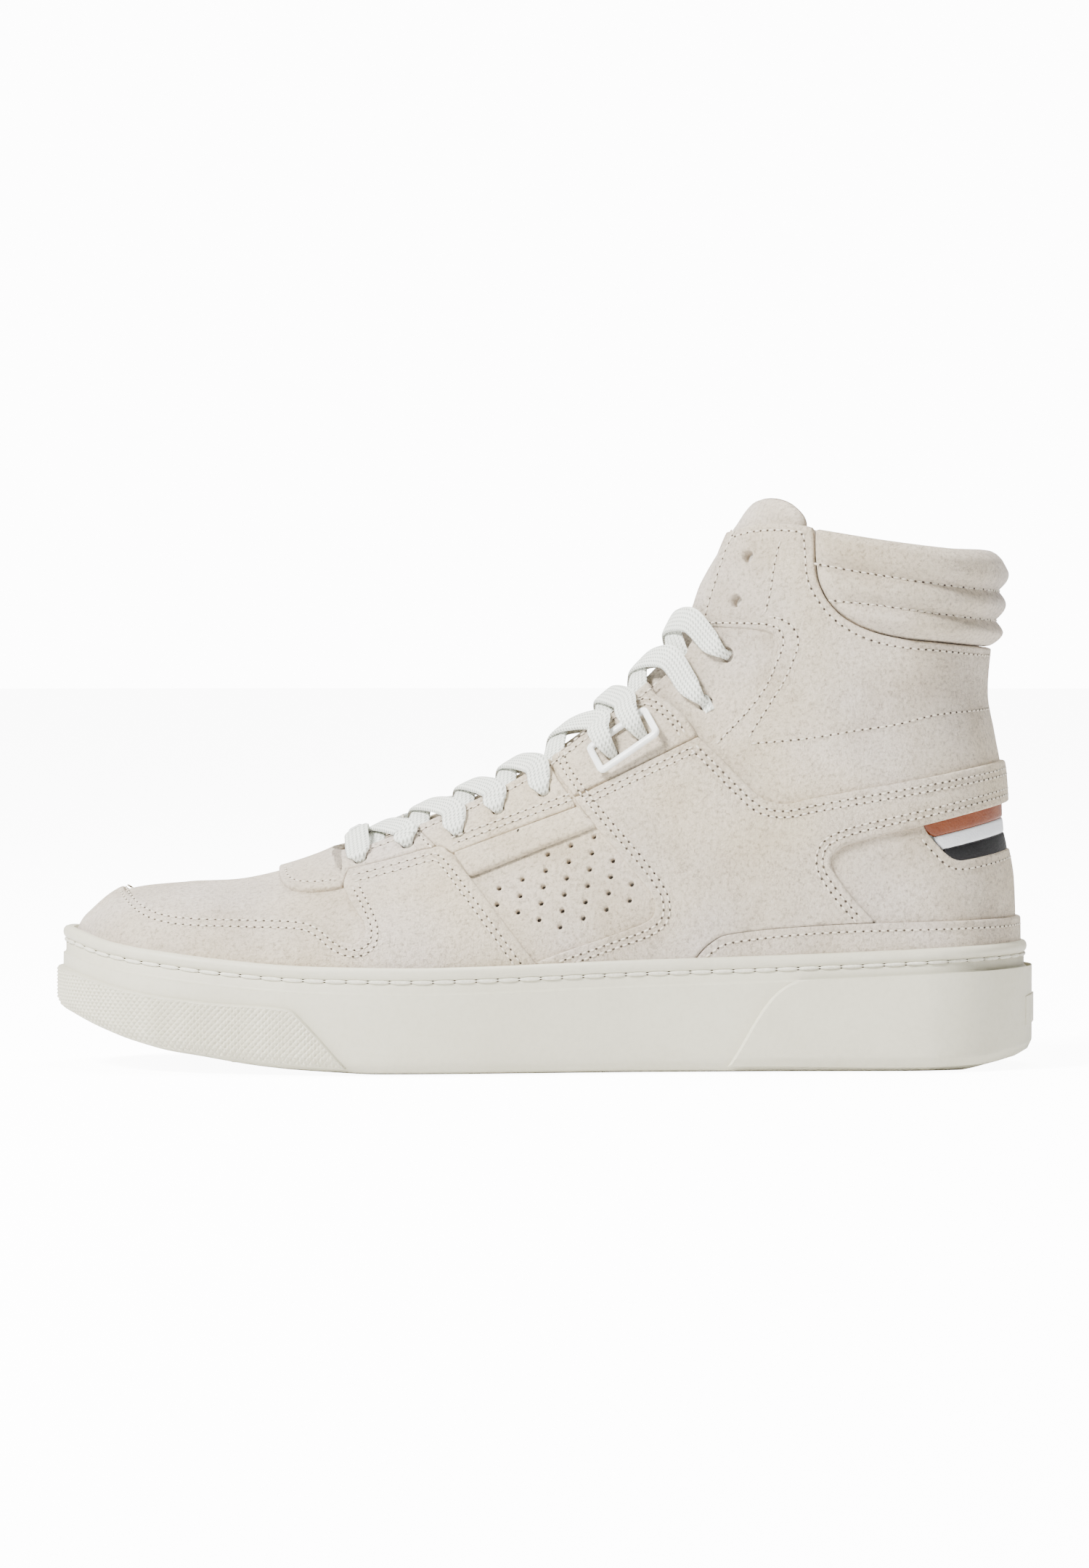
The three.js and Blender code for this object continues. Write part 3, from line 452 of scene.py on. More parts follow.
def tube_faces(rings, n, cap_low=False, cap_high=False):
    """Faces between rings of n points each, and over either end."""
    faces = [[i * n + j, i * n + (j + 1) % n, (i + 1) * n + (j + 1) % n, (i + 1) * n + j]
             for i in range(rings - 1) for j in range(n)]
    if cap_low:
        faces.append(list(range(n))[::-1])
    if cap_high:
        faces.append([(rings - 1) * n + j for j in range(n)])
    return faces


def join(parts):
    """Several (points, faces) as one."""
    points, faces, base = [], [], 0
    for p, f in parts:
        points.append(p)
        faces += [[q + base for q in face] for face in f]
        base += len(p)
    return np.concatenate(points), faces


def tree_of(points):
    """A search tree for the nearest of the points."""
    tree = KDTree(len(points))
    for i, point in enumerate(points):
        tree.insert(point, i)
    tree.balance()
    return tree


# ---- materials ----
def srgb(r, g, b):
    return tuple(c / 12.92 if c <= 0.04045 else ((c + 0.055) / 1.055) ** 2.4
                 for c in (r / 255, g / 255, b / 255)) + (1.0,)


class Shader:
    """A Principled material and the few node helpers that every finish here uses."""

    def __init__(self, name, roughness, **inputs):
        self.material = bpy.data.materials.new(name)
        self.material.use_nodes = True
        self.tree = self.material.node_tree
        self.surface = self.tree.nodes["Principled BSDF"]
        self.surface.inputs["Roughness"].default_value = roughness
        for key, value in inputs.items():
            self.surface.inputs[key.replace("_", " ")].default_value = value
        self.place = self.tree.nodes.new("ShaderNodeTexCoord").outputs["Object"]

    def link(self, a, b):
        self.tree.links.new(a, b)

    def noise(self, size, detail=3, rough=0.55):
        node = self.tree.nodes.new("ShaderNodeTexNoise")
        node.inputs["Scale"].default_value = 1 / (size * MM)
        node.inputs["Detail"].default_value = detail
        node.inputs["Roughness"].default_value = rough
        self.link(self.place, node.inputs["Vector"])
        return node.outputs["Fac"]

    def cells(self, size):
        node = self.tree.nodes.new("ShaderNodeTexVoronoi")
        node.inputs["Scale"].default_value = 1 / (size * MM)
        self.link(self.place, node.inputs["Vector"])
        return node.outputs["Distance"]

    def ramp(self, value, stops):
        node = self.tree.nodes.new("ShaderNodeValToRGB")
        elements = node.color_ramp.elements
        while len(elements) < len(stops):
            elements.new(0.5)
        for element, (at, colour) in zip(elements, stops):
            element.position = at
            element.color = colour
        self.link(value, node.inputs["Fac"])
        return node.outputs["Color"]

    def mix(self, a, b, share, kind="MIX"):
        node = self.tree.nodes.new("ShaderNodeMix")
        node.data_type = "RGBA"
        node.blend_type = kind
        node.inputs["Factor"].default_value = share
        self.link(a, node.inputs["A"])
        self.link(b, node.inputs["B"])
        return node.outputs["Result"]

    def math(self, kind, a, b=0.0):
        node = self.tree.nodes.new("ShaderNodeMath")
        node.operation = kind
        for socket, value in zip(node.inputs, (a, b)):
            if isinstance(value, (int, float)):
                socket.default_value = value
            else:
                self.link(value, socket)
        return node.outputs[0]

    def plus(self, a, b):
        return self.math("ADD", a, b)

    def times(self, a, b):
        return self.math("MULTIPLY", a, b)

    def sine(self, a, b):
        return self.math("SINE", self.times(a, b))

    def bump(self, height, distance, strength=1.0, normal=None):
        node = self.tree.nodes.new("ShaderNodeBump")
        node.inputs["Distance"].default_value = distance * MM
        node.inputs["Strength"].default_value = strength
        self.link(height, node.inputs["Height"])
        if normal:
            self.link(normal, node.inputs["Normal"])
        return node.outputs["Normal"]

    def finish(self, colour, normal=None, roughness=None):
        self.link(colour, self.surface.inputs["Base Color"])
        if normal:
            self.link(normal, self.surface.inputs["Normal"])
        if roughness:
            self.link(roughness, self.surface.inputs["Roughness"])
        return self.material


def suede(name, tone=(215, 205, 185)):
    s = Shader(name, 0.94, Sheen_Weight=0.15, Sheen_Roughness=0.6)
    r, g, b = tone
    patches = s.ramp(s.noise(26, 4), [(0.3, srgb(r - 16, g - 18, b - 20)), (0.5, srgb(r, g, b)),
                                      (0.72, srgb(r + 9, g + 9, b + 12))])
    tint = s.ramp(s.noise(60, 2), [(0.35, srgb(255, 248, 238)), (0.65, srgb(247, 245, 255))])
    nap = s.ramp(s.noise(1.15, 5, 0.72), [(0.3, srgb(146, 137, 124)), (0.5, srgb(236, 233, 227)),
                                         (0.7, srgb(255, 255, 255))])
    fuzz = s.noise(0.55, 3, 0.7)
    colour = s.mix(s.mix(patches, tint, 0.8, "MULTIPLY"), nap, 0.75, "MULTIPLY")
    normal = s.bump(s.noise(1.3, 5, 0.72), 1.1, 0.95)
    normal = s.bump(fuzz, 0.3, 0.6, normal)
    return s.finish(colour, s.bump(s.noise(14, 3), 1.6, 0.5, normal))


def rubber():
    s = Shader("cup_rubber", 0.52, Specular_IOR_Level=0.42)
    colour = s.ramp(s.noise(40, 4), [(0.3, srgb(197, 192, 171)), (0.7, srgb(206, 202, 182))])
    specks = s.ramp(s.noise(1.6, 2), [(0.25, srgb(243, 243, 240)), (0.6, srgb(255, 255, 255))])
    rough = s.plus(s.times(s.noise(9, 3), 0.16), 0.42)
    return s.finish(s.mix(colour, specks, 0.5, "MULTIPLY"), s.bump(s.noise(0.8, 2), 0.05, 0.4), rough)


def woven(name, light, dark, size, depth):
    """Cloth with threads both ways, `size` millimetres apart."""
    s = Shader(name, 0.9, Sheen_Weight=0.1)
    axes = s.tree.nodes.new("ShaderNodeSeparateXYZ")
    s.link(s.place, axes.inputs[0])
    x, y, z = axes.outputs
    turn = 2 * math.pi / (size * MM)
    threads = s.times(s.sine(s.plus(x, y), turn), s.sine(s.math("SUBTRACT", z, x), turn))
    weave = s.plus(s.times(threads, 0.35), 0.5)
    height = s.plus(weave, s.times(s.noise(0.9, 3), 0.4))
    wear = s.ramp(s.noise(20, 3), [(0.3, srgb(238, 236, 232)), (0.7, srgb(255, 255, 255))])
    # The weave's dips take the dark colour: painted shade between the threads.
    colour = s.mix(s.ramp(weave, [(0.2, dark), (0.7, light)]), wear, 0.8, "MULTIPLY")
    return s.finish(colour, s.bump(height, depth, 0.7))


STRAND = 1.35
TWIST = 1.25


def braid():
    """Flat lace: slanted strands side by side, from the lace's own UV in millimetres."""
    s = Shader("braided_lace", 0.85, Sheen_Weight=0.15)
    node = s.tree.nodes.new("ShaderNodeUVMap")
    node.uv_map = "thread"
    parts = s.tree.nodes.new("ShaderNodeSeparateXYZ")
    s.link(node.outputs["UV"], parts.inputs[0])
    across, run = parts.outputs[0], parts.outputs[1]
    off_centre = s.math("SUBTRACT", s.math("PINGPONG", across, STRAND), 0.67)
    slant = s.times(s.math("ABSOLUTE", off_centre), 1.1)
    wave = s.sine(s.plus(run, slant), 2 * math.pi / TWIST)
    rib = s.sine(across, 2 * math.pi / STRAND)
    height = s.plus(s.times(s.plus(wave, rib), 0.22), 0.5)
    height = s.plus(height, s.times(s.noise(0.5, 2), 0.25))
    # The low parts of the height take the dark colour: painted shade in the valleys between strands.
    colour = s.ramp(height, [(0.15, srgb(140, 143, 134)), (0.5, srgb(214, 216, 206)),
                             (0.85, srgb(234, 236, 226))])
    return s.finish(colour, s.bump(height, 0.45, 0.9))


def smooth_leather(name, tone):
    s = Shader(name, 0.45)
    r, g, b = tone
    shade = srgb(max(0, r - 12), max(0, g - 12), max(0, b - 10))
    colour = s.ramp(s.noise(6, 4), [(0.3, shade), (0.7, srgb(r, g, b))])
    return s.finish(colour, s.bump(s.cells(0.7), 0.12, 0.5))


def enamel():
    s = Shader("white_enamel", 0.3, Coat_Weight=0.25)
    colour = s.ramp(s.noise(5, 2), [(0.3, srgb(236, 237, 232)), (0.7, srgb(243, 244, 240))])
    return s.finish(colour, s.bump(s.noise(1.5, 2), 0.03, 0.3))


def plain_grain(name, dark, light, roughness, size=2.0):
    s = Shader(name, roughness)
    colour = s.ramp(s.noise(size, 4), [(0.3, dark), (0.7, light)])
    return s.finish(colour, s.bump(s.noise(size / 3, 3), 0.1, 0.5))


SUEDE = suede("suede")
PAD_SUEDE = suede("suede_padded", (214, 204, 184))
RUBBER = rubber()
KNIT = woven("lining_knit", srgb(214, 207, 196), srgb(176, 168, 156), 1.6, 0.3)
FOOT_CLOTH = woven("footbed_cloth", srgb(205, 198, 187), srgb(170, 162, 150), 1.1, 0.2)
BRAID = braid()
THREAD = plain_grain("thread", srgb(196, 186, 168), srgb(218, 209, 193), 0.7, 0.6)
SOLE_THREAD = plain_grain("sole_thread", srgb(200, 196, 178), srgb(222, 219, 203), 0.6, 0.8)
# Dark colour for the needle holes and the sole's pinches: painted shade inside the holes where the thread
# goes in.
HOLE_SHADE = plain_grain("needle_hole", srgb(46, 39, 31), srgb(82, 73, 61), 0.95, 0.6)
FOAM = plain_grain("foam", srgb(205, 205, 198), srgb(228, 228, 222), 0.85)
BOARD = plain_grain("board", srgb(190, 186, 174), srgb(214, 210, 200), 0.9, 1.2)
ENAMEL = enamel()
TAN = smooth_leather("tan_leather", (120, 60, 22))
WHITE = smooth_leather("white_leather", (232, 234, 236))
BLACK = smooth_leather("black_leather", (15, 15, 16))


# ---- outlines of the panels, in side view (x, z) ----
MUDGUARD = [(-160, 10), (-160, 60), (-137, 60), (-131, 55), (-124.9, 52.6), (-118, 50.5),
            (-108.8, 49.4), (-82.5, 48.5), (-74.7, 47.8), (-69.1, 45.4), (-64.2, 41.8), (-59, 40),
            (-55.5, 42), (-55.5, 45.5), (-57.9, 49.4), (-62.4, 57.2), (-61.2, 62.4), (-46, 66.1),
            (-33.8, 69.5), (-31, 69), (-23.3, 60.5), (-3, 34.2), (1, 29), (1, 10)]
FRONT_STAY = [(-70, 92), (-67.1, 66.1), (-62.6, 57.6), (-61.2, 62.4), (-46, 66.1), (-33.8, 69.6),
              (-40.3, 76.2), (-46, 92)]
EYESTAY = [(-45.9, 92), (-40.2, 76.2), (-33.7, 69.7), (-31, 69), (-28.5, 67.6), (9.6, 82),
           (8.1, 84.4), (2, 93.5), (1.4, 98.3), (0, 112)]
STRIP = [(-28.5, 67.5), (10.2, 81.9), (16, 76.2), (-23.3, 60.6)]
RING_STAY = [(2, 112), (1.9, 98.4), (2.5, 93.8), (8.7, 85.4), (46.8, 103.6), (45.2, 106.6),
             (42.5, 110.4), (38.2, 114.2), (33.4, 117.5), (28.5, 130)]
SADDLE = [(8.7, 84.6), (15.5, 75.9), (24.2, 65.9), (32.4, 55.7), (34, 51.8), (33.4, 48.4),
          (30.6, 46.3), (23.5, 43.5), (3.5, 36.7), (-2.8, 34.3), (1.2, 29), (1.2, 10), (44, 10),
          (44, 30), (46.3, 35), (50.3, 39.5), (55.9, 42.5), (83.1, 45.2), (102.5, 46.1), (99.7, 48.7),
          (94.1, 55), (90.1, 60.3), (88.1, 64.4), (88.7, 67.2), (94.1, 70.6), (116, 75.7),
          (142.7, 81.8), (160, 85.2), (160, 98.2), (141.4, 94.9), (109.5, 89.3), (81.4, 84.4),
          (76, 83.1), (71.8, 83), (68, 84.2), (64.6, 86.6), (52.8, 98.5), (47.2, 103.6)]
FOXING = [(44.2, 10), (44.2, 30), (46.5, 34.8), (50.5, 39.3), (56, 42.5), (83.1, 45.2),
          (114.6, 46.3), (160, 46.8), (160, 10)]
THROAT_TAB = [(-95, 92), (-85, 68), (-82.7, 60.3), (-81.8, 58.7), (-79.8, 57), (-75.6, 56.1),
              (-68.6, 56.3), (-62.6, 57.4), (-62, 66), (-64, 92)]
VAMP = [(-160, 10), (-160, 95), (-30, 95), (-30, 10)]
SIDE_PANEL = [(-34, 10), (-34, 95), (2, 125), (24, 125), (44, 104), (54, 92), (66, 80),
              (70, 77), (84, 76), (90, 60), (104, 44), (104, 10)]
HEEL_OVERLAY = [(80, 10), (80, 78.2), (117, 80.5), (118.1, 75.7), (121.5, 71.2),
                (126.9, 66.1), (131.1, 65.1), (160, 70.2), (160, 10)]
STRIPE_TAN = [(117, 80.6), (160, 88), (160, 80.4), (121.4, 72.5), (118.1, 75.6)]
STRIPE_WHITE = [(121.4, 72.5), (160, 80.4), (160, 75.6), (124.6, 68.6)]
STRIPE_BLACK = [(124.6, 68.6), (160, 75.6), (160, 69.2), (131.1, 63.7), (126.4, 65.6)]
QUARTER = [(10, 137.8), (59.9, 137.4), (69.6, 135.6), (71.6, 132.9), (69.8, 127.1), (66, 119.9),
           (59.6, 111.9), (50.9, 103.2), (46, 98), (50.6, 88), (62.4, 78), (70, 75.4), (84, 76.9),
           (117, 79), (160, 86.5), (160, 128), (139, 130.8), (121.3, 132.9), (113.7, 133.7),
           (102.1, 136.2), (93, 140.4), (87.6, 145.4), (84.1, 151.6), (83, 157), (82.6, 166),
           (82, 169.3), (71.5, 170.4), (62.6, 169.8), (55, 167.6), (10, 160)]
INSET_PANEL = [(10, 141), (62, 141), (73, 138), (75, 132), (72, 122), (62, 108), (52, 97), (44, 96),
               (30, 108), (20, 118), (10, 118)]
COLLAR = [(83.4, 168.7), (82.8, 166), (83.3, 157), (84.4, 151.7), (87.9, 145.6), (93.2, 140.8),
          (102.1, 136.6), (113.7, 134), (121.3, 133.2), (139, 131.1), (160, 128.4), (160, 157),
          (146, 157), (143.5, 159.5), (141, 161), (127.4, 162), (105, 165)]
COLLAR_ROWS = [[(82.5, 157.2), (98.3, 154.3), (121.3, 150.7), (139.8, 148.5), (150, 147.6)],
               [(87, 145.8), (105.9, 143.8), (121.3, 141.6), (139.8, 139.2), (150, 138.4)]]
LINING = [(-160, 10), (-160, 95), (2, 130), (10, 160), (55, 167.6), (62.6, 169.8), (71.5, 170.4),
          (82, 169.3), (82.6, 166), (83, 157), (84.1, 151.6), (87.6, 145.4), (93, 140.4),
          (102.1, 136.2), (113.7, 133.7), (121.3, 132.9), (139, 130.8), (160, 128), (160, 10)]
TONGUE = [(-66, 50), (-66, 95), (0, 130), (20, 160), (51, 173), (55, 178.6), (60.5, 181.6), (67, 181.2),
          (73, 178.4), (77, 173.5), (78.5, 150), (79, 134), (75, 127), (62, 118), (48, 104),
          (30, 90), (8, 76), (-15, 65), (-40, 56)]

# Sewn rows in side view: (points, sideways offset of each line of thread, layer depth).
NOTCH_ROW = [(-131.5, 56.3), (-128.2, 53), (-123.5, 49.8), (-117.1, 47.9), (-108.8, 47.1),
             (-91.9, 46.7), (-76.5, 46.3), (-71.8, 45.2), (-68.2, 43), (-65.2, 40.4), (-61, 38.3),
             (-56.8, 38.2), (-53.6, 40.2), (-53.3, 44.6), (-55.4, 49.6), (-59.6, 57.2)]
STAY_ROW = [(-60, 60.2), (-46, 63.9), (-34.6, 67), (-32, 66.2), (-25.2, 58), (-14, 43.2), (-6, 32)]
SADDLE_FRONT_ROW = [(4.2, 98.4), (4.9, 94.4), (11.6, 85), (18, 77.2), (26.6, 67.4), (34.6, 57),
                    (36.7, 51.8), (35.8, 47), (31.6, 44), (24, 41.2), (4, 34.2)]
SADDLE_TOP_ROW = [(46.4, 101), (50.6, 97), (62.6, 85), (66.6, 81.9), (71.6, 80.6), (76.2, 80.7),
                  (81.8, 82), (110, 86.9), (141.8, 92.5), (150, 94)]
RING_TOP_ROW = [(4.5, 98.4), (21.5, 111), (28.9, 114.6), (33, 114.8), (36.6, 112.4), (40.6, 108.8),
                (43.6, 104.2)]
RING_LOW_ROW = [(11.5, 84.6), (46, 101)]
SADDLE_HEEL_ROW = [(150, 85.4), (142.1, 84.2), (121.5, 79.6), (107.9, 76.6), (93.2, 72.9), (87, 69.4),
                   (85.7, 64), (88, 59.2), (92.4, 53.2), (98, 47)]
FOXING_ROW = [(46.8, 31), (49, 34.6), (52.6, 37.8), (57, 39.9), (83.1, 42.7), (114.6, 43.8), (150, 44.2)]
INSET_ROW = [(46, 138.9), (67.5, 138.7), (72.2, 137.1), (73.3, 133.1), (70.9, 126.4), (66.6, 117.5),
             (52, 101.6)]
ANKLE_ROW = [(68, 141), (72.7, 140.2), (76.4, 137.4), (78, 133.1), (76.2, 127.3), (73.3, 120.8),
             (69.5, 114.8), (64.2, 107.2), (62, 103.4)]
TOP_ROW = [(56, 165.4), (62.6, 167.4), (71.5, 168), (79.4, 167.2), (80, 160), (80.6, 153), (83, 147.6),
           (88, 141.2), (94.6, 136.4), (103, 132.9), (113.4, 131), (121.3, 130.3), (139, 128.2),
           (150, 127)]
ROWS = [
    (COLLAR_ROWS[0], (0,), COLLAR_VALLEY),
    (COLLAR_ROWS[1], (0,), COLLAR_VALLEY),
    (NOTCH_ROW, (0, -1.9), OVERLAY),
    (STAY_ROW, (0, -1.9), OVERLAY),
    ([(-46, 80), (-42.2, 75.4), (-34.8, 68.6)], (0,), OVERLAY),
    ([(-29, 69.8), (9, 84)], (0, 1.9), OVERLAY),
    ([(-21.8, 62.8), (14.6, 77.8)], (0,), OVERLAY),
    (SADDLE_FRONT_ROW, (0, 1.9), OVERLAY),
    (SADDLE_TOP_ROW, (0, -1.9), OVERLAY),
    (RING_TOP_ROW, (0, -1.8), OVERLAY),
    (RING_LOW_ROW, (-0.6, -2.4), OVERLAY),
    (SADDLE_HEEL_ROW, (0, -1.9), OVERLAY),
    (FOXING_ROW, (0,), OVERLAY),
    ([(117, 72.3), (120, 68.8), (125.8, 63.4), (131.3, 62.3), (150, 65.6)], (0,), BASE),
    (INSET_ROW, (0,), BASE),
    ([(72.2, 165), (70.2, 157), (69.1, 149.1), (67.3, 142)], (0,), BASE),
    (ANKLE_ROW, (0,), BASE),
    ([(62.6, 101.8), (80.9, 103.2), (96.1, 105.6), (109, 107.4), (122.9, 110.3), (150, 111.8)], (0,), BASE),
    (TOP_ROW, (0,), BASE),
    ([(-82, 66), (-80.6, 61), (-79, 59.2), (-75.4, 58.3), (-68.6, 58.5), (-64, 59.2)], (0,), OVERLAY),
]
# Rows beside the throat: (first section, last section, distance from the edge, layer depth).
THROAT_ROWS = [(5.6, 8.95, 2.3, OVERLAY), (9.35, 10.6, 2.3, OVERLAY), (13.3, 16.9, 2.3, BASE)]
PERFORATIONS = [(14.6 - 7.1 * i + 6.5 * j, 73.4 - 2.7 * i - 2.35 * j) for i in range(7) for j in range(-4, 6)]
PERFORATION_RADIUS = 0.62
WINDOW = [(-21.5, 59.0), (15.5, 74.6), (30, 57.5), (31.8, 50.5), (21, 43), (-3, 35)]


# ---- panels ----
def row_spots(line, offset, side, depth):
    """The stitches of a sewn row, on the skin."""
    flat = shift_line(smooth_line(line, closed=False, step=0.2), offset)
    u, v, s = locate(flat, side)
    good = (s <= 0.99) & (s >= 0.0)
    return even_spots(skin(u[good], v[good], depth))


def even_spots(p):
    """Points a stitch apart along a line, from half a stitch in."""
    length = run_length(p)
    count = max(2, int(length[-1] / STITCH_PITCH))
    return at_lengths(p, length, (np.arange(count) + 0.5) * length[-1] / count)


def throat_line(u0, u1, inset, side, depth):
    """A line from section u0 to u1 that stays inset from the throat's edge."""
    out = []
    for u in np.linspace(u0, u1, 90):
        v = np.linspace(0, 0.6, 240) * side
        p = skin(np.full(len(v), u), v, 0)
        reach = np.abs(p[:, 1] - THROAT_Y) > THROAT_HALF + inset
        out.append(skin(u, v[reach.argmax()], depth))
    return np.array(out)


def all_rows():
    for points, offsets, depth in ROWS:
        for offset in offsets:
            for _, side in SIDES:
                yield row_spots(points, offset, side, depth), depth
    for u0, u1, inset, depth in THROAT_ROWS:
        for _, side in SIDES:
            yield even_spots(throat_line(u0, u1, inset, side, depth)), depth


SEWN = list(all_rows())
GROOVE_DEPTH = 0.32
GROOVE_HALF = 1.15


def groove(p, depth):
    """How far the thread pulls the leather down at points of one layer."""
    rows = [spots for spots, row_depth in SEWN if abs(row_depth - depth) < 0.1]
    if not rows:
        return np.zeros(len(p))
    tree = tree_of(np.concatenate(rows))
    gap = np.array([tree.find(q)[2] for q in p])
    return GROOVE_DEPTH * np.exp(-((gap / GROOVE_HALF) ** 2))


# How a panel's edge falls away: (distance from the edge, share of the drop).
EDGE = [(0.0, 1.0), (-0.06, 0.32), (-0.3, 0.1), (-0.75, 0.0)]
SLOTS = {"stripe_tan": "tan_leather", "stripe_white": "white_leather", "stripe_black": "black_leather"}


def edge_drop(f, drop):
    keys, values = zip(*(EDGE + [(-FAR, 0.0)])[::-1])
    return drop * np.interp(f, keys, values)


def panel(name, outline, layer, side=0, drop=1.75, throat=True, holes=(), radius=1.0, material=SUEDE,
          puff=0.0):
    uv, tris, f = panel_patch(outline, side, [key for key, _ in EDGE], throat, holes, radius)
    depth = layer + edge_drop(f, drop) - puff * (1 - np.exp(np.minimum(0, f) / 6))
    depth = depth + groove(skin_at(uv, layer), layer)
    obj = make_mesh(name, skin_at(uv, depth), tris, material, smooth=50, weld=0.01)
    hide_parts(name)
    SLOTS.get(name, "suede")
    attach(obj, "shoe")


def perforated_panel(name, side):
    spots = [spot for spot in PERFORATIONS if in_window(spot)]
    uv, tris, f = panel_patch(SIDE_PANEL, side, (0.0,), True, spots, PERFORATION_RADIUS)
    obj = make_mesh(name, skin_at(uv, BASE + edge_drop(f, 1.6)), tris, SUEDE, smooth=50, weld=0.01)
    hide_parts(name)
    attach(obj, "shoe")


def in_window(spot):
    """True inside the outline that the perforations keep to."""
    inside = True
    for (ax, az), (bx, bz) in zip(WINDOW, WINDOW[1:] + WINDOW[:1]):
        inside &= (bx - ax) * (spot[1] - az) - (bz - az) * (spot[0] - ax) < 0
    return inside


def make_panels():
    panel("vamp", VAMP, BASE, drop=2.9, holes=EYELETS[:2], radius=2.3)
    panel("throat_tab", THROAT_TAB, OVERLAY)
    panel("mudguard", MUDGUARD, OVERLAY, throat=False)
    panel("heel_overlay", HEEL_OVERLAY, BASE, drop=1.3, throat=False)
    panel("heel_foxing", FOXING, OVERLAY, throat=False)
    for name, outline, material in (("stripe_tan", STRIPE_TAN, TAN), ("stripe_white", STRIPE_WHITE, WHITE),
                                    ("stripe_black", STRIPE_BLACK, BLACK)):
        panel(name, outline, STRIPE_DEPTH, drop=1, throat=False, material=material, puff=0.3)
    for name, side in SIDES:
        make_side_panels(name, side)


def make_side_panels(name, side):
    """The panels that come once on each side."""
    def one(part, outline, layer, **options):
        panel(f"{part}_{name}", outline, layer, side=side, **options)

    one("front_stay", FRONT_STAY, OVERLAY, holes=EYELETS[:2], radius=2.0)
    one("eyestay", EYESTAY, OVERLAY, holes=EYELETS[2:5], radius=2.0)
    one("side_strip", STRIP, OVERLAY - 0.25, drop=1.5)
    one("ring_stay", RING_STAY, OVERLAY, holes=EYELETS[5:7], radius=2.0)
    one("saddle", SADDLE, OVERLAY)
    perforated_panel(f"side_panel_{name}", side)
    one("ankle_quarter", QUARTER, BASE, drop=2.9, holes=EYELETS[9:11], radius=1.8)
    one("ankle_inset", INSET_PANEL, INSET, drop=2, holes=EYELETS[7:9], radius=2.2)


# ---- threads: sizes are half lengths (ahead, across, up) ----
THREAD_SIZE = (0.8, 0.33, 0.3)
THREAD_SINK = 0.12
NEEDLE_SIZE = (0.5, 0.46, 0.24)
NEEDLE_SINK = 0.2


def capsule(rings=5, sides=6):
    """Unit capsule along X: points and faces."""
    t = np.linspace(-1, 1, rings)
    radius = np.sqrt(np.maximum(0.02, 1 - np.abs(t) ** 3))
    angle = np.arange(sides) * 2 * math.pi / sides
    points = np.array([[x, r * math.cos(a), r * math.sin(a)] for x, r in zip(t, radius) for a in angle])
    return points, tube_faces(rings, sides, cap_low=True, cap_high=True)


def place_many(shape, centres, ahead, up, size):
    """Copies of a shape at each centre, X ahead and Z up, scaled by size (x, y, z)."""
    points, faces = shape
    ahead = unit(ahead)
    across = unit(np.cross(up, ahead))
    up = np.cross(ahead, across)
    p = (centres[:, None] + points[None, :, :1] * size[0] * ahead[:, None]
         + points[None, :, 1:2] * size[1] * across[:, None] + points[None, :, 2:] * size[2] * up[:, None])
    n = len(points)
    return p.reshape(-1, 3), [[q + k * n for q in face] for k in range(len(centres)) for face in faces]


GRID_SAMPLE = GRID_UV[::3]
GRID_TREE = tree_of(GRID_P[::3])


def skin_normals(p):
    """Outward directions near the upper, from the fine grid."""
    uv = GRID_SAMPLE[[GRID_TREE.find(q)[1] for q in p]]
    return unit(skin_at(uv, -1.5) - skin_at(uv, 1.5))


def make_stitching():
    """Threads on the sewn rows, with a dark needle hole between each pair: a sunk dark capsule, painted
    shade.
    """
    threads, holes = [], []
    for spots, _ in SEWN:
        if len(spots) < 3:
            continue
        up = skin_normals(spots)
        ahead = np.gradient(spots, axis=0)
        threads.append(place_many(capsule(), spots - up * THREAD_SINK, ahead, up, THREAD_SIZE))
        # Dark capsules sunk between the stitches: painted shade in the needle holes.
        between = spots[:-1] + np.diff(spots, axis=0) / 2 - up[:-1] * NEEDLE_SINK
        holes.append(place_many(capsule(3, 6), between, ahead[:-1], up[:-1], NEEDLE_SIZE))
    for name, parts, material in (("stitching", threads, THREAD), ("needle_holes", holes, HOLE_SHADE)):
        obj = make_mesh(name, *join(parts), material)
        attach(obj, "shoe")


# ---- closed shells over the skin: lining, collar and tongue ----
def shell_mesh(outline, outer, inner, rings, throat=False):
    """A closed solid over the outline, between the depths outer(p, f) and inner(p, f)."""
    uv, tris, f = panel_patch(outline, 0, rings, throat)
    p = skin_at(uv, 0)
    top, low = skin_at(uv, outer(p, f)), skin_at(uv, inner(p, f))
    edges, count = np.unique(triangle_edges(tris), axis=0, return_counts=True)
    n = len(top)
    a, b = edges[count == 1].T
    walls = np.concatenate([np.stack([a, b, b + n], 1), np.stack([a, b + n, a + n], 1)])
    return np.concatenate([top, low]), np.concatenate([tris, tris[:, ::-1] + n, walls])


def rounded(f, radius):
    """How far in from full thickness a pad is at f (mm inside its edge), 1 at the edge."""
    t = np.clip(-f / radius, 0, 1)
    return 1 - np.sqrt(t * (2 - t))


def make_lining():
    p, faces = shell_mesh(LINING, lambda p, f: LINING_OUT + 0 * f, lambda p, f: LINING_IN + 0 * f,
                          rings=(0.0, -0.9))
    obj = make_mesh("lining_sock", p, faces, KNIT, smooth=50, weld=0.02)
    cut_throat(obj.data)
    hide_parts("lining_sock")
    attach(obj, "shoe")


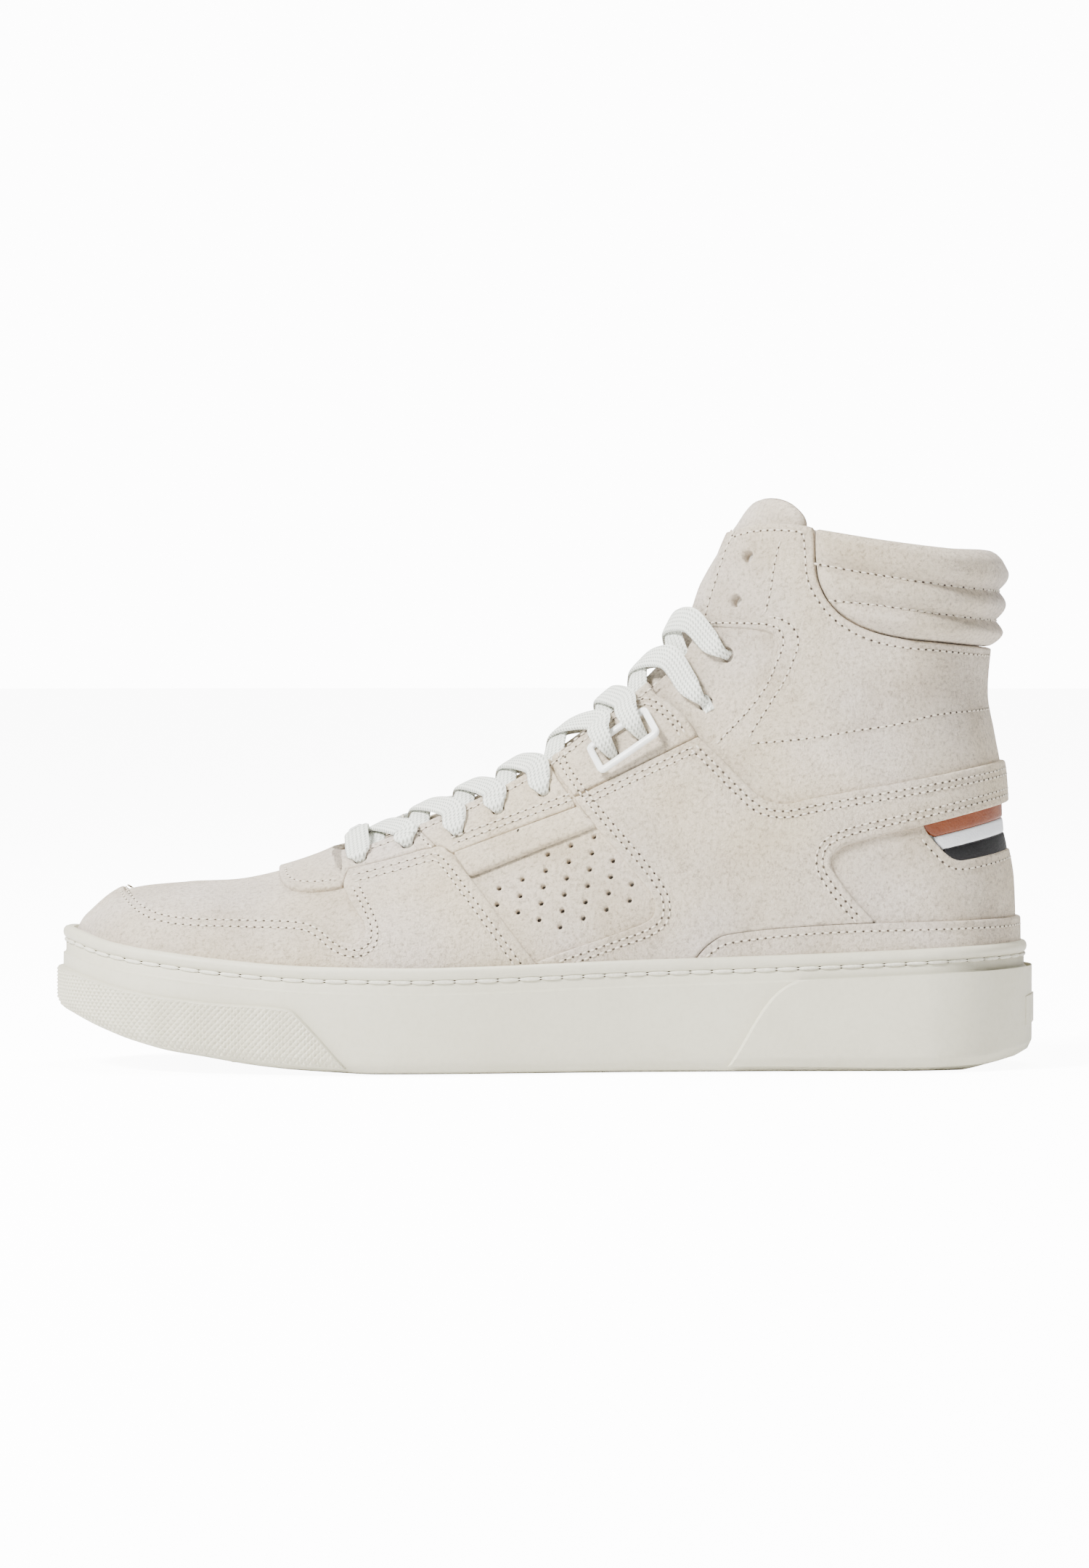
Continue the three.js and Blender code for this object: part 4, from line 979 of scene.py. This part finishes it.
def cut_throat(mesh, margin=0.6, lowest=58):
    """Removes the faces that lie inside the throat opening, and a margin round it."""
    bm = bmesh.new()
    bm.from_mesh(mesh)
    centres = np.array([face.calc_center_median()[:] for face in bm.faces]) / MM
    inside = (throat_field(centres) > -margin) & (centres[:, 2] > lowest)
    gone = [face for face, cut in zip(bm.faces, inside) if cut]
    bmesh.ops.delete(bm, geom=gone, context="FACES")
    bm.to_mesh(mesh)
    bm.free()


COLLAR_ROUND = 4.6
TONGUE_ROUND = 3.4


def make_collar():
    """Padded suede collar: ribs puff out between two sewn rows."""
    rows = [smooth_line(row, closed=False) for row in COLLAR_ROWS]

    def ribs(p, f):
        gap = np.min([distance_to(p[:, [0, 2]], row) for row in rows], axis=0)
        crest = np.clip(gap / COLLAR_ROUND, 0, 1)
        return (2.9 * np.sin(crest * math.pi / 2) - 1.3) * np.clip(-f / 4, 0, 1)

    def outer(p, f):
        seam = np.clip(-f / 2.5, 0, 1)
        return 3.6 * rounded(f, COLLAR_ROUND) - 0.2 * seam - ribs(p, f)

    def inner(p, f):
        return 9.4 - 5.4 * rounded(f, COLLAR_ROUND) + 0.5 * np.clip(-f / 4, 0, 1)

    p, faces = shell_mesh(COLLAR, outer, inner, (0.0, -0.25, -0.8, -1.8, -3.2, -COLLAR_ROUND), throat=True)
    obj = make_mesh("collar_pad", p, faces, PAD_SUEDE, smooth=70, weld=0.02)
    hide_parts("collar_pad")
    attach(obj, "shoe")


def make_tongue():
    """One padded tongue under the lacing, free above it."""
    def outer(p, f):
        middle = np.clip(1 - np.abs(p[:, 1] - THROAT_Y) / 16, 0, 1) ** 0.6
        low = np.clip((172 - p[:, 2]) / 20, 0, 1)
        return 6.7 - 1.6 * middle * low + 3.2 * rounded(f, TONGUE_ROUND)

    def inner(p, f):
        return 12.0 - 3.2 * rounded(f, TONGUE_ROUND)

    p, faces = shell_mesh(TONGUE, outer, inner, (0.0, -0.3, -0.9, -1.9, -3.2))
    obj = make_mesh("tongue", p, faces, PAD_SUEDE, smooth=70, weld=0.02)
    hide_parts("tongue", "tongue_top")
    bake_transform(obj)


# ---- laces, rings and keeper ----
LACE_W, LACE_T = 8.2, 1.5
UNDER = 3.65


def eyelet_frame(k, side):
    """(point on the skin, outward direction) at one eyelet."""
    spot = np.array([EYELETS[k]])
    return on_skin(spot, side, 0)[0], outward(spot, side)[0]


def throat_spot(k, side, half=THROAT_HALF):
    """(point, section) beside an eyelet where the throat is half wide."""
    u, _, _ = locate([EYELETS[k]], side)
    v = np.linspace(0, 0.7, 400) * side
    p = skin(np.full(400, u[0]), v, 0)
    return p[(np.abs(p[:, 1] - THROAT_Y) >= half).argmax()], u[0]


def ridge(u):
    """(point, outward direction) on the ridge line, above the tongue's middle."""
    p = skin(u, 0.0, 0)
    n = skin(u, 0.0, -2) - skin(u, 0.0, 2)
    return np.array([p[0], THROAT_Y, p[2]]), np.array([n[0], 0, n[2]]) / math.hypot(n[0], n[2])


def lace_run(stops):
    """One lace stretch through stops of (point, up, width)."""
    points, ups, widths = (np.array(column, float) for column in zip(*stops))
    gaps = np.linalg.norm(np.diff(points, axis=0), axis=1) ** 0.6
    knots = np.concatenate([[0], np.cumsum(gaps)])
    order = np.arange(len(knots))
    key = np.interp(np.linspace(0, knots[-1], 56), knots, order)
    p = np.stack([catmull(points[:, i], key) for i in range(3)], 1)
    ahead = unit(np.gradient(p, axis=0))
    across = unit(np.cross(at_lengths(ups, order, key), ahead))
    return ribbon(p, across, np.cross(ahead, across), np.interp(key, order, widths))


def ribbon(p, across, up, width, thick=LACE_T, steps=14):
    """A flat braid with rounded edges; its UV is (across, along) in millimetres."""
    t = np.linspace(-1, 1, steps)
    height = np.sqrt(1 - np.abs(t) ** 4) * 0.5 + 0.04
    ring_x = np.concatenate([t, t[::-1]])
    ring_z = np.concatenate([height, -height[::-1]])
    points = (p[:, None] + across[:, None] * (ring_x[None, :, None] * width[:, None, None] / 2)
              + up[:, None] * (ring_z[None, :, None] * thick))
    faces = tube_faces(len(p), len(ring_x), cap_low=True, cap_high=True)
    uv = np.stack(np.broadcast_arrays(ring_x[None, :] * width[:, None] / 2, run_length(p)[:, None]), -1)
    return points.reshape(-1, 3), faces, uv.reshape(-1, 2)

def eyelet_stops(k, side):
    """Stops up out of an eyelet and in to the throat's edge."""
    hole, out = eyelet_frame(k, side)
    edge, _ = throat_spot(k, side)
    high, reach = (-4.5, 0.5) if k in (5, 6) else (-1.0, 0.35)
    inward = unit(edge - hole)
    return [(hole - out * UNDER, -inward, 3.2), (hole - out * 0.9, -inward, 3.2),
            (hole + (edge - hole) * 0.12 - out * (high + 0.2), (out - inward) / 1.4, 5.6),
            (hole + (edge - hole) * reach - out * high, out, 7.6), (edge + out * 1.1, out, LACE_W)]


def crossing_stops(k, side, lift):
    """Stops from an eyelet over the tongue and down under the far side's next eyelet."""
    _, u0 = throat_spot(k, side)
    _, u1 = throat_spot(k - 1, -side)
    top, up = ridge(u0 + (u1 - u0) * 0.55)
    stops = eyelet_stops(k, side) + [(top + up * (0.2 + lift), up, LACE_W)]
    side_now = -side
    hole, out = eyelet_frame(k - 1, side_now)
    far_a, _ = throat_spot(k, side_now, 11.5)
    far_b, _ = throat_spot(k - 1, side_now, 11.5)
    far = far_a + (far_b - far_a) * 0.75
    for t, width in ((0, 7), (0.25, 6), (0.5, 5), (0.75, 4), (1.15, 3.6)):
        stops.append((far + (hole - far) * t - out * (UNDER if t else 2.6), out, width))
    return stops


def make_lace():
    parts = []
    for k in range(1, LACED):
        parts.append(lace_run(crossing_stops(k, 1, -2.0)))
        parts.append(lace_run(crossing_stops(k, -1, -0.7)))
    _, u0 = throat_spot(0, 1)
    top, up = ridge(u0)
    bar = [(top + up * 0.9 + np.array([0, y, 0]), up, LACE_W) for y in (-7, 0, 7)]
    parts.append(lace_run(eyelet_stops(0, -1) + bar + eyelet_stops(0, 1)[::-1]))
    points, faces = join([part[:2] for part in parts])
    uv = np.concatenate([part[2] for part in parts])
    obj = make_mesh("lace", points, faces, BRAID, smooth=60, uv=uv)
    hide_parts("lace")
    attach(obj, "shoe")


def round_frame(size, radius, steps=8):
    """A rectangle of (length, width) with round corners, as points."""
    out = []
    for cx, cy, start in ((1, 1, 0), (-1, 1, 90), (-1, -1, 180), (1, -1, 270)):
        for k in range(steps + 1):
            a = math.radians(start + 90 * k / steps)
            out.append((cx * (size[0] / 2 - radius) + radius * math.cos(a),
                        cy * (size[1] / 2 - radius) + radius * math.sin(a)))
    return np.array(out)


def soft_power(value):
    """A circle's sine or cosine made squarer."""
    return math.copysign(abs(value) ** 0.7, value)


def frame_ring(outer, inner, thick, centre, axes, corner=2.2, sides=10):
    """A rounded-corner wire frame between two outlines, with a round section."""
    along, across, up = axes
    big = round_frame(outer, corner)
    small = round_frame(inner, max(0.5, corner - (outer[0] - inner[0]) / 2 + 0.4))
    points = []
    for k in range(sides):
        a = 2 * math.pi * k / sides
        flat = small + (big - small) * (soft_power(math.cos(a)) + 1) / 2
        z = soft_power(math.sin(a)) * thick / 2
        points.append(centre + flat[:, :1] * along + flat[:, 1:] * across + z * up)
    total = sides * len(big)
    faces = [[q % total for q in face] for face in tube_faces(sides + 1, len(big))]
    return np.concatenate(points), faces


def ring_obj(name, body, shape):
    obj = make_mesh(name, *shape, ENAMEL, smooth=60)
    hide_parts(name)
    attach(obj, body)


def make_rings():
    for name, side in SIDES:
        a, out_a = eyelet_frame(5, side)
        b, out_b = eyelet_frame(6, side)
        out = unit(out_a + out_b)
        along = b - a
        along = unit(along - out * (along @ out))
        axes = (along, np.cross(out, along), out)
        ring_obj(f"lace_ring_{name}", "shoe",
                 frame_ring((23, 14), (18.5, 9.5), 1.8, (a + b) / 2 + out * 2.5, axes))
    _, u0 = throat_spot(0, 1)
    top, up = ridge(u0)
    along = np.array([0, 1, 0])
    axes = (np.cross(up, along), up, along)
    ring_obj("lace_keeper", "keeper",
             frame_ring((5.0, 3.4), (3.8, 1.9), 10.4, top + up * 0.8, axes, corner=1.2, sides=12))


# ---- sole ----
PLAN_STEPS = 420
SOLE_SIDE = 1.3
BEAD_DROP = 8.4


def plan_loop(inset, height, steps=PLAN_STEPS):
    """The sole's outline in plan, set in by inset, at the height that height(x) gives."""
    a = np.arange(steps) * 2 * math.pi / steps
    x0 = -HALF_LENGTH * np.cos(a)
    half = curve(SOLE_HALF, x0) - inset
    width = half * round_off((x0 + HALF_LENGTH) / 50) * round_off((HALF_LENGTH - x0) / 36)
    x = x0 * (1 - inset / HALF_LENGTH)
    y = curve(CENTRE, x0) - np.sign(np.sin(a)) * width
    return np.stack([x, y, height(x0)], 1)


def rim(drop):
    return lambda x: curve(RIM_Z, x) - drop


def bottom(rise):
    return lambda x: np.maximum(0, curve(BOTTOM_Z, x)) + rise


def even_loop(p, steps=PLAN_STEPS):
    """The same closed loop with its points at even spacing."""
    q = np.concatenate([p, p[:1]])
    length = run_length(q)
    return at_lengths(q, length, np.arange(steps) * length[-1] / steps)


# The wall's profile from its top edge down: (set in, drop under the rim).
BEAD = [(3.3, 0.4), (1.7, 0.0), (0.7, 0.3), (0.15, 1.0), (0.0, 1.9), (0.15, 2.8), (0.6, 3.5), (1.15, 4.0),
        (1.25, 4.5), (0.9, 5.1), (0.9, 7.5), (0.7, 8.0), (0.05, BEAD_DROP)]
FOOT_EDGE = [(0, 5), (0.3, 3.2), (1, 1.8), (2.2, 0.7), (4.4, 0.0)]


def wall_height(share):
    """Height between the bead (0) and the foot of the wall (1)."""
    return lambda x: (1 - share) * (curve(RIM_Z, x) - 9) + share * bottom(5)(x)


def make_cupsole():
    """Wall with a top bead, a groove for the stitches and a ledge, and a plain underside."""
    def level(inset, height):
        return even_loop(plan_loop(SOLE_SIDE + inset, height))

    rings = [level(4.6, rim(9.0)), level(4.6, rim(3.0)), level(3.6, rim(1.6))]
    rings += [level(inset, rim(drop)) for inset, drop in BEAD]
    rings += [level(0, wall_height(share)) for share in (0.25, 0.5, 0.75)]
    rings += [level(inset, bottom(rise)) for inset, rise in FOOT_EDGE]
    floor = rings[-1]
    middle = np.stack([floor[:, 0], curve(CENTRE, floor[:, 0]), floor[:, 2]], 1)
    rings += [floor + (middle - floor) * share for share in (0.1, 0.3, 0.6, 0.93)]
    faces = [face[::-1] for face in tube_faces(len(rings), PLAN_STEPS)]
    last = (len(rings) - 1) * PLAN_STEPS
    faces.append([last + j for j in range(PLAN_STEPS)])
    obj = make_mesh("cupsole", np.concatenate(rings), faces, RUBBER, smooth=45)
    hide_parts("cupsole")
    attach(obj, "shoe")


def make_tread():
    """Zigzag ribs that stand on the outsole's underside."""
    parts = []
    for row in range(29):
        x = -96 + row * 7.6
        half = float(curve(SOLE_HALF, x)) - 13
        centre = float(curve(CENTRE, x))
        y = np.linspace(-half, half, 41)
        zigzag = 2.6 * np.abs(((y / 13) % 2) - 1)
        line = np.stack([x + zigzag, centre + y, bottom(0.35)(x + zigzag)], 1)
        up = np.tile([0.0, 0, 1], (len(line), 1))
        across = np.cross(up, unit(np.gradient(line, axis=0)))
        parts.append(ribbon(line, across, up, np.full(len(line), 3.2), thick=0.66, steps=6)[:2])
    obj = make_mesh("tread", *join(parts), RUBBER, smooth=40)
    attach(obj, "shoe")


def make_sole_stitches():
    """Long lock-stitches in the groove, all round, with a dark pinch between each pair: painted shade where
    the thread dives into the sole.
    """
    line = even_loop(plan_loop(SOLE_SIDE + 1.2, rim(4.35)), 2000)
    spots = even_loop(line, 104)
    ahead = np.roll(spots, -1, 0) - np.roll(spots, 1, 0)
    out = unit(np.cross(ahead, [0, 0, 1.0]))
    threads = place_many(capsule(7, 8), spots + out * 0.35, ahead, out, (3.45, 0.62, 0.5))
    between = (spots + np.roll(spots, -1, 0)) / 2
    # Dark capsules between the stitches: painted shade where the thread goes in.
    pinch_shades = place_many(capsule(5, 6), between + out * 0.05, ahead, out, (0.5, 0.75, 0.35))
    for name, part, material in (("sole_stitching", threads, SOLE_THREAD), ("sole_pinches", pinch_shades, HOLE_SHADE)):
        obj = make_mesh(name, *part, material, smooth=60)
        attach(obj, "shoe")


BUMPER = [(-160, 33), (-151.7, 31.1), (-128.7, 25.3), (-105, 22.3), (-80, 20.7), (-76.3, 19.1),
          (-59.9, 1.2), (-68, 1.6), (-95, 3.9), (-123, 8), (-136, 11.8), (-160, 21)]
HEEL_WRAP = [(160, 34.2), (78, 28.6), (55.6, 1.2), (134, 1.2), (160, 5.8)]
DIAMOND = 2.2
WALL_STEPS = 6000
WRAP_RINGS = (-0.9, -0.3, -0.1, 0.0)
BUMPER_RINGS = (-1.1, -0.8, -0.3, -0.1, 0.0)


def wall_run(front, step):
    """Points a step apart along the foot of the wall, round the toe or the heel, and which way is out."""
    loop = even_loop(plan_loop(0, bottom(0)), WALL_STEPS)
    pitch = np.linalg.norm(loop[1] - loop[0])
    a = np.nonzero(loop[:, 0] < -50 if front else loop[:, 0] > 50)[0]
    if front:
        half = WALL_STEPS // 2
        a = np.concatenate([a[a > half], a[a <= half]])
    base = loop[a[::max(1, int(step / pitch))]]
    return base, unit(np.cross(np.gradient(base, axis=0), [0, 0, 1.0]))


def wrap_height(f):
    """How far a wrap stands off the wall: its edges dip into it."""
    return 0.3 - 3.2 * (1 - np.clip(-f / 0.8, 0, 1)) ** 2


def diamonds(along, up):
    """Height of a field of small pyramids."""
    tips = [0.5 - np.abs((way / DIAMOND % 1) - 0.5) for way in (along + up, along - up)]
    return 0.05 + 0.8 * np.minimum(1, 2 * np.minimum(*tips))


def wrap_surface(outline, front, textured):
    """A skin over the sole wall inside an outline, as (points, faces)."""
    step = 0.42 if textured else 0.9
    base, out = wall_run(front, step)
    rows = int(40 / step)
    low = base[:, 2]
    high = curve(RIM_Z, base[:, 0]) - BEAD_DROP
    z = low[:, None] + 0.6 + (high - low)[:, None] * np.linspace(0, 1, rows)[None, :]
    inset = np.interp(z - low[:, None], [0.6, 1.5, 4.5], [4.4, 1.4, 0.0])
    p = base[:, None] - out[:, None] * inset[..., None]
    p[..., 2] = z
    points = p.reshape(-1, 3)
    f = signed_distance(points[:, [0, 2]], smooth_line(outline))
    q = grid_cells(len(base), rows)
    tris = np.concatenate([np.stack([q, q + rows, q + rows + 1], 1), np.stack([q, q + rows + 1, q + 1], 1)])
    uv = np.stack(np.broadcast_arrays(run_length(base)[:, None], z), -1).reshape(-1, 2)
    data = np.concatenate([points, np.repeat(out, rows, 0), uv], 1)
    for iso in BUMPER_RINGS if textured else WRAP_RINGS:
        data, tris, f = split(data, tris, f, iso)
    data, tris, f = compact(data, tris[f[tris].mean(1) < 1e-9], f)
    height = wrap_height(f)
    if textured:
        height = np.where(f < -1.0, diamonds(data[:, 6], data[:, 7]), height)
    return data[:, :3] + data[:, 3:6] * height[:, None], tris


def make_wraps():
    for name, outline, is_toe in (("toe_bumper", BUMPER, True), ("heel_wrap", HEEL_WRAP, False)):
        points, tris = wrap_surface(outline, front=is_toe, textured=is_toe)
        obj = make_mesh(name, points, tris, RUBBER, smooth=34)
        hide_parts(name)
        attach(obj, "shoe")


FOOTBED_INSET = 13.6
FOOTBED_THICK = 4.0


def make_footbed():
    loops = [plan_loop(FOOTBED_INSET + inset, lambda x, r=rise: footbed_floor(x) + r)
             for inset, rise in ((0.4, 0.0), (0, 0.8), (0, 3.2), (0.4, 3.8), (1.4, FOOTBED_THICK))]
    top = loops[-1]
    middle = np.stack([top[:, 0], curve(CENTRE, top[:, 0]), top[:, 2]], 1)
    for share in (0.15, 0.35, 0.6, 0.85, 0.97):
        ring = top + (middle - top) * share
        ring[:, 2] = footbed_floor(ring[:, 0]) + FOOTBED_THICK
        loops.append(ring)
    faces = [face[::-1] for face in tube_faces(len(loops), PLAN_STEPS, cap_low=True, cap_high=True)]
    obj = make_mesh("footbed", np.concatenate(loops), faces, FOOT_CLOTH, smooth=50)
    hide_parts("footbed")
    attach(obj, "insole")


def footbed_floor(x):
    """Height of the board that the footbed lies on."""
    return curve(SECTIONS[:LAST_RIM + 1, :2], x) - 1.0


def finish_hidden_nodes():
    """The nodes that stay as they are get procedural finishes."""
    for node, material in (("midsole_foam", FOAM), ("strobel_board", BOARD), ("toe_puff", FOAM),
                           ("heel_counter", FOAM), ("heel_plate", RUBBER)):
        obj = bpy.data.objects[node]
        obj.data.materials.clear()
        obj.data.materials.append(material)


# ---- camera and light: places in metres, the floor and the lens in millimetres ----
BACKDROP = 13.0
FLOOR_GLOW = 10.0
AMBIENT = 0.42
FLOOR_RADIUS = 6000
LAMPS = (("key", (-1.35, -1.15, 1.8), 0.6, 200), ("top", (0.3, 0.4, 2.1), 1.0, 66))
LAMP_AIM = (0, 0, 0.06)
CAMERA_PLACE = (0, -2.4, 0.165)
CAMERA_AIM = (0, 0, 0.0877)
LENS = 176
SENSOR = 36


def make_floor():
    """White paper that shines only towards the camera."""
    s = Shader("paper", 0.9, Specular_IOR_Level=0.0)
    paper = s.finish(s.ramp(s.noise(300, 2), [(0.3, srgb(251, 251, 251)), (0.7, srgb(253, 253, 253))]))
    path = s.tree.nodes.new("ShaderNodeLightPath")
    glow = s.times(path.outputs["Is Camera Ray"], FLOOR_GLOW)
    s.surface.inputs["Emission Color"].default_value = (1, 1, 1, 1)
    s.link(glow, s.surface.inputs["Emission Strength"])
    a = np.arange(64) * 2 * math.pi / 64
    disc = np.stack([FLOOR_RADIUS * np.cos(a), FLOOR_RADIUS * np.sin(a), 0 * a - 0.3], 1)
    floor = make_mesh("floor", disc, [list(range(len(a)))], paper)


def make_world():
    """Soft light all round, and a brighter white where the camera sees the backdrop."""
    world = bpy.data.worlds.new("studio")
    world.use_nodes = True
    nodes, links = world.node_tree.nodes, world.node_tree.links
    nodes["Background"].inputs["Color"].default_value = (1, 1, 1, 1)
    path = nodes.new("ShaderNodeLightPath")
    lift = nodes.new("ShaderNodeMath")
    lift.operation = "MULTIPLY_ADD"
    lift.inputs[1].default_value = BACKDROP - AMBIENT
    lift.inputs[2].default_value = AMBIENT
    links.new(path.outputs["Is Camera Ray"], lift.inputs[0])
    links.new(lift.outputs[0], nodes["Background"].inputs["Strength"])
    bpy.context.scene.world = world


def aim(obj, place, target):
    obj.location = place
    obj.rotation_euler = (Vector(target) - Vector(place)).to_track_quat("-Z", "Y").to_euler()


def add_object(name, data):
    obj = bpy.data.objects.new(name, data)
    bpy.context.scene.collection.objects.link(obj)
    return obj


def make_studio():
    make_floor()
    make_world()
    for name, place, size, power in LAMPS:
        light = bpy.data.lights.new(name, "AREA")
        light.size = size
        light.energy = power
        aim(add_object(name, light), place, LAMP_AIM)
    view = bpy.data.cameras.new("camera")
    view.lens = LENS
    view.sensor_width = SENSOR
    camera = add_object("camera", view)
    aim(camera, CAMERA_PLACE, CAMERA_AIM)
    bpy.context.scene.camera = camera


# ---- build everything ----
make_panels()
make_stitching()
make_lining()
make_collar()
make_tongue()
make_lace()
make_rings()
make_cupsole()
make_tread()
make_sole_stitches()
make_wraps()
make_footbed()
finish_hidden_nodes()
make_studio()
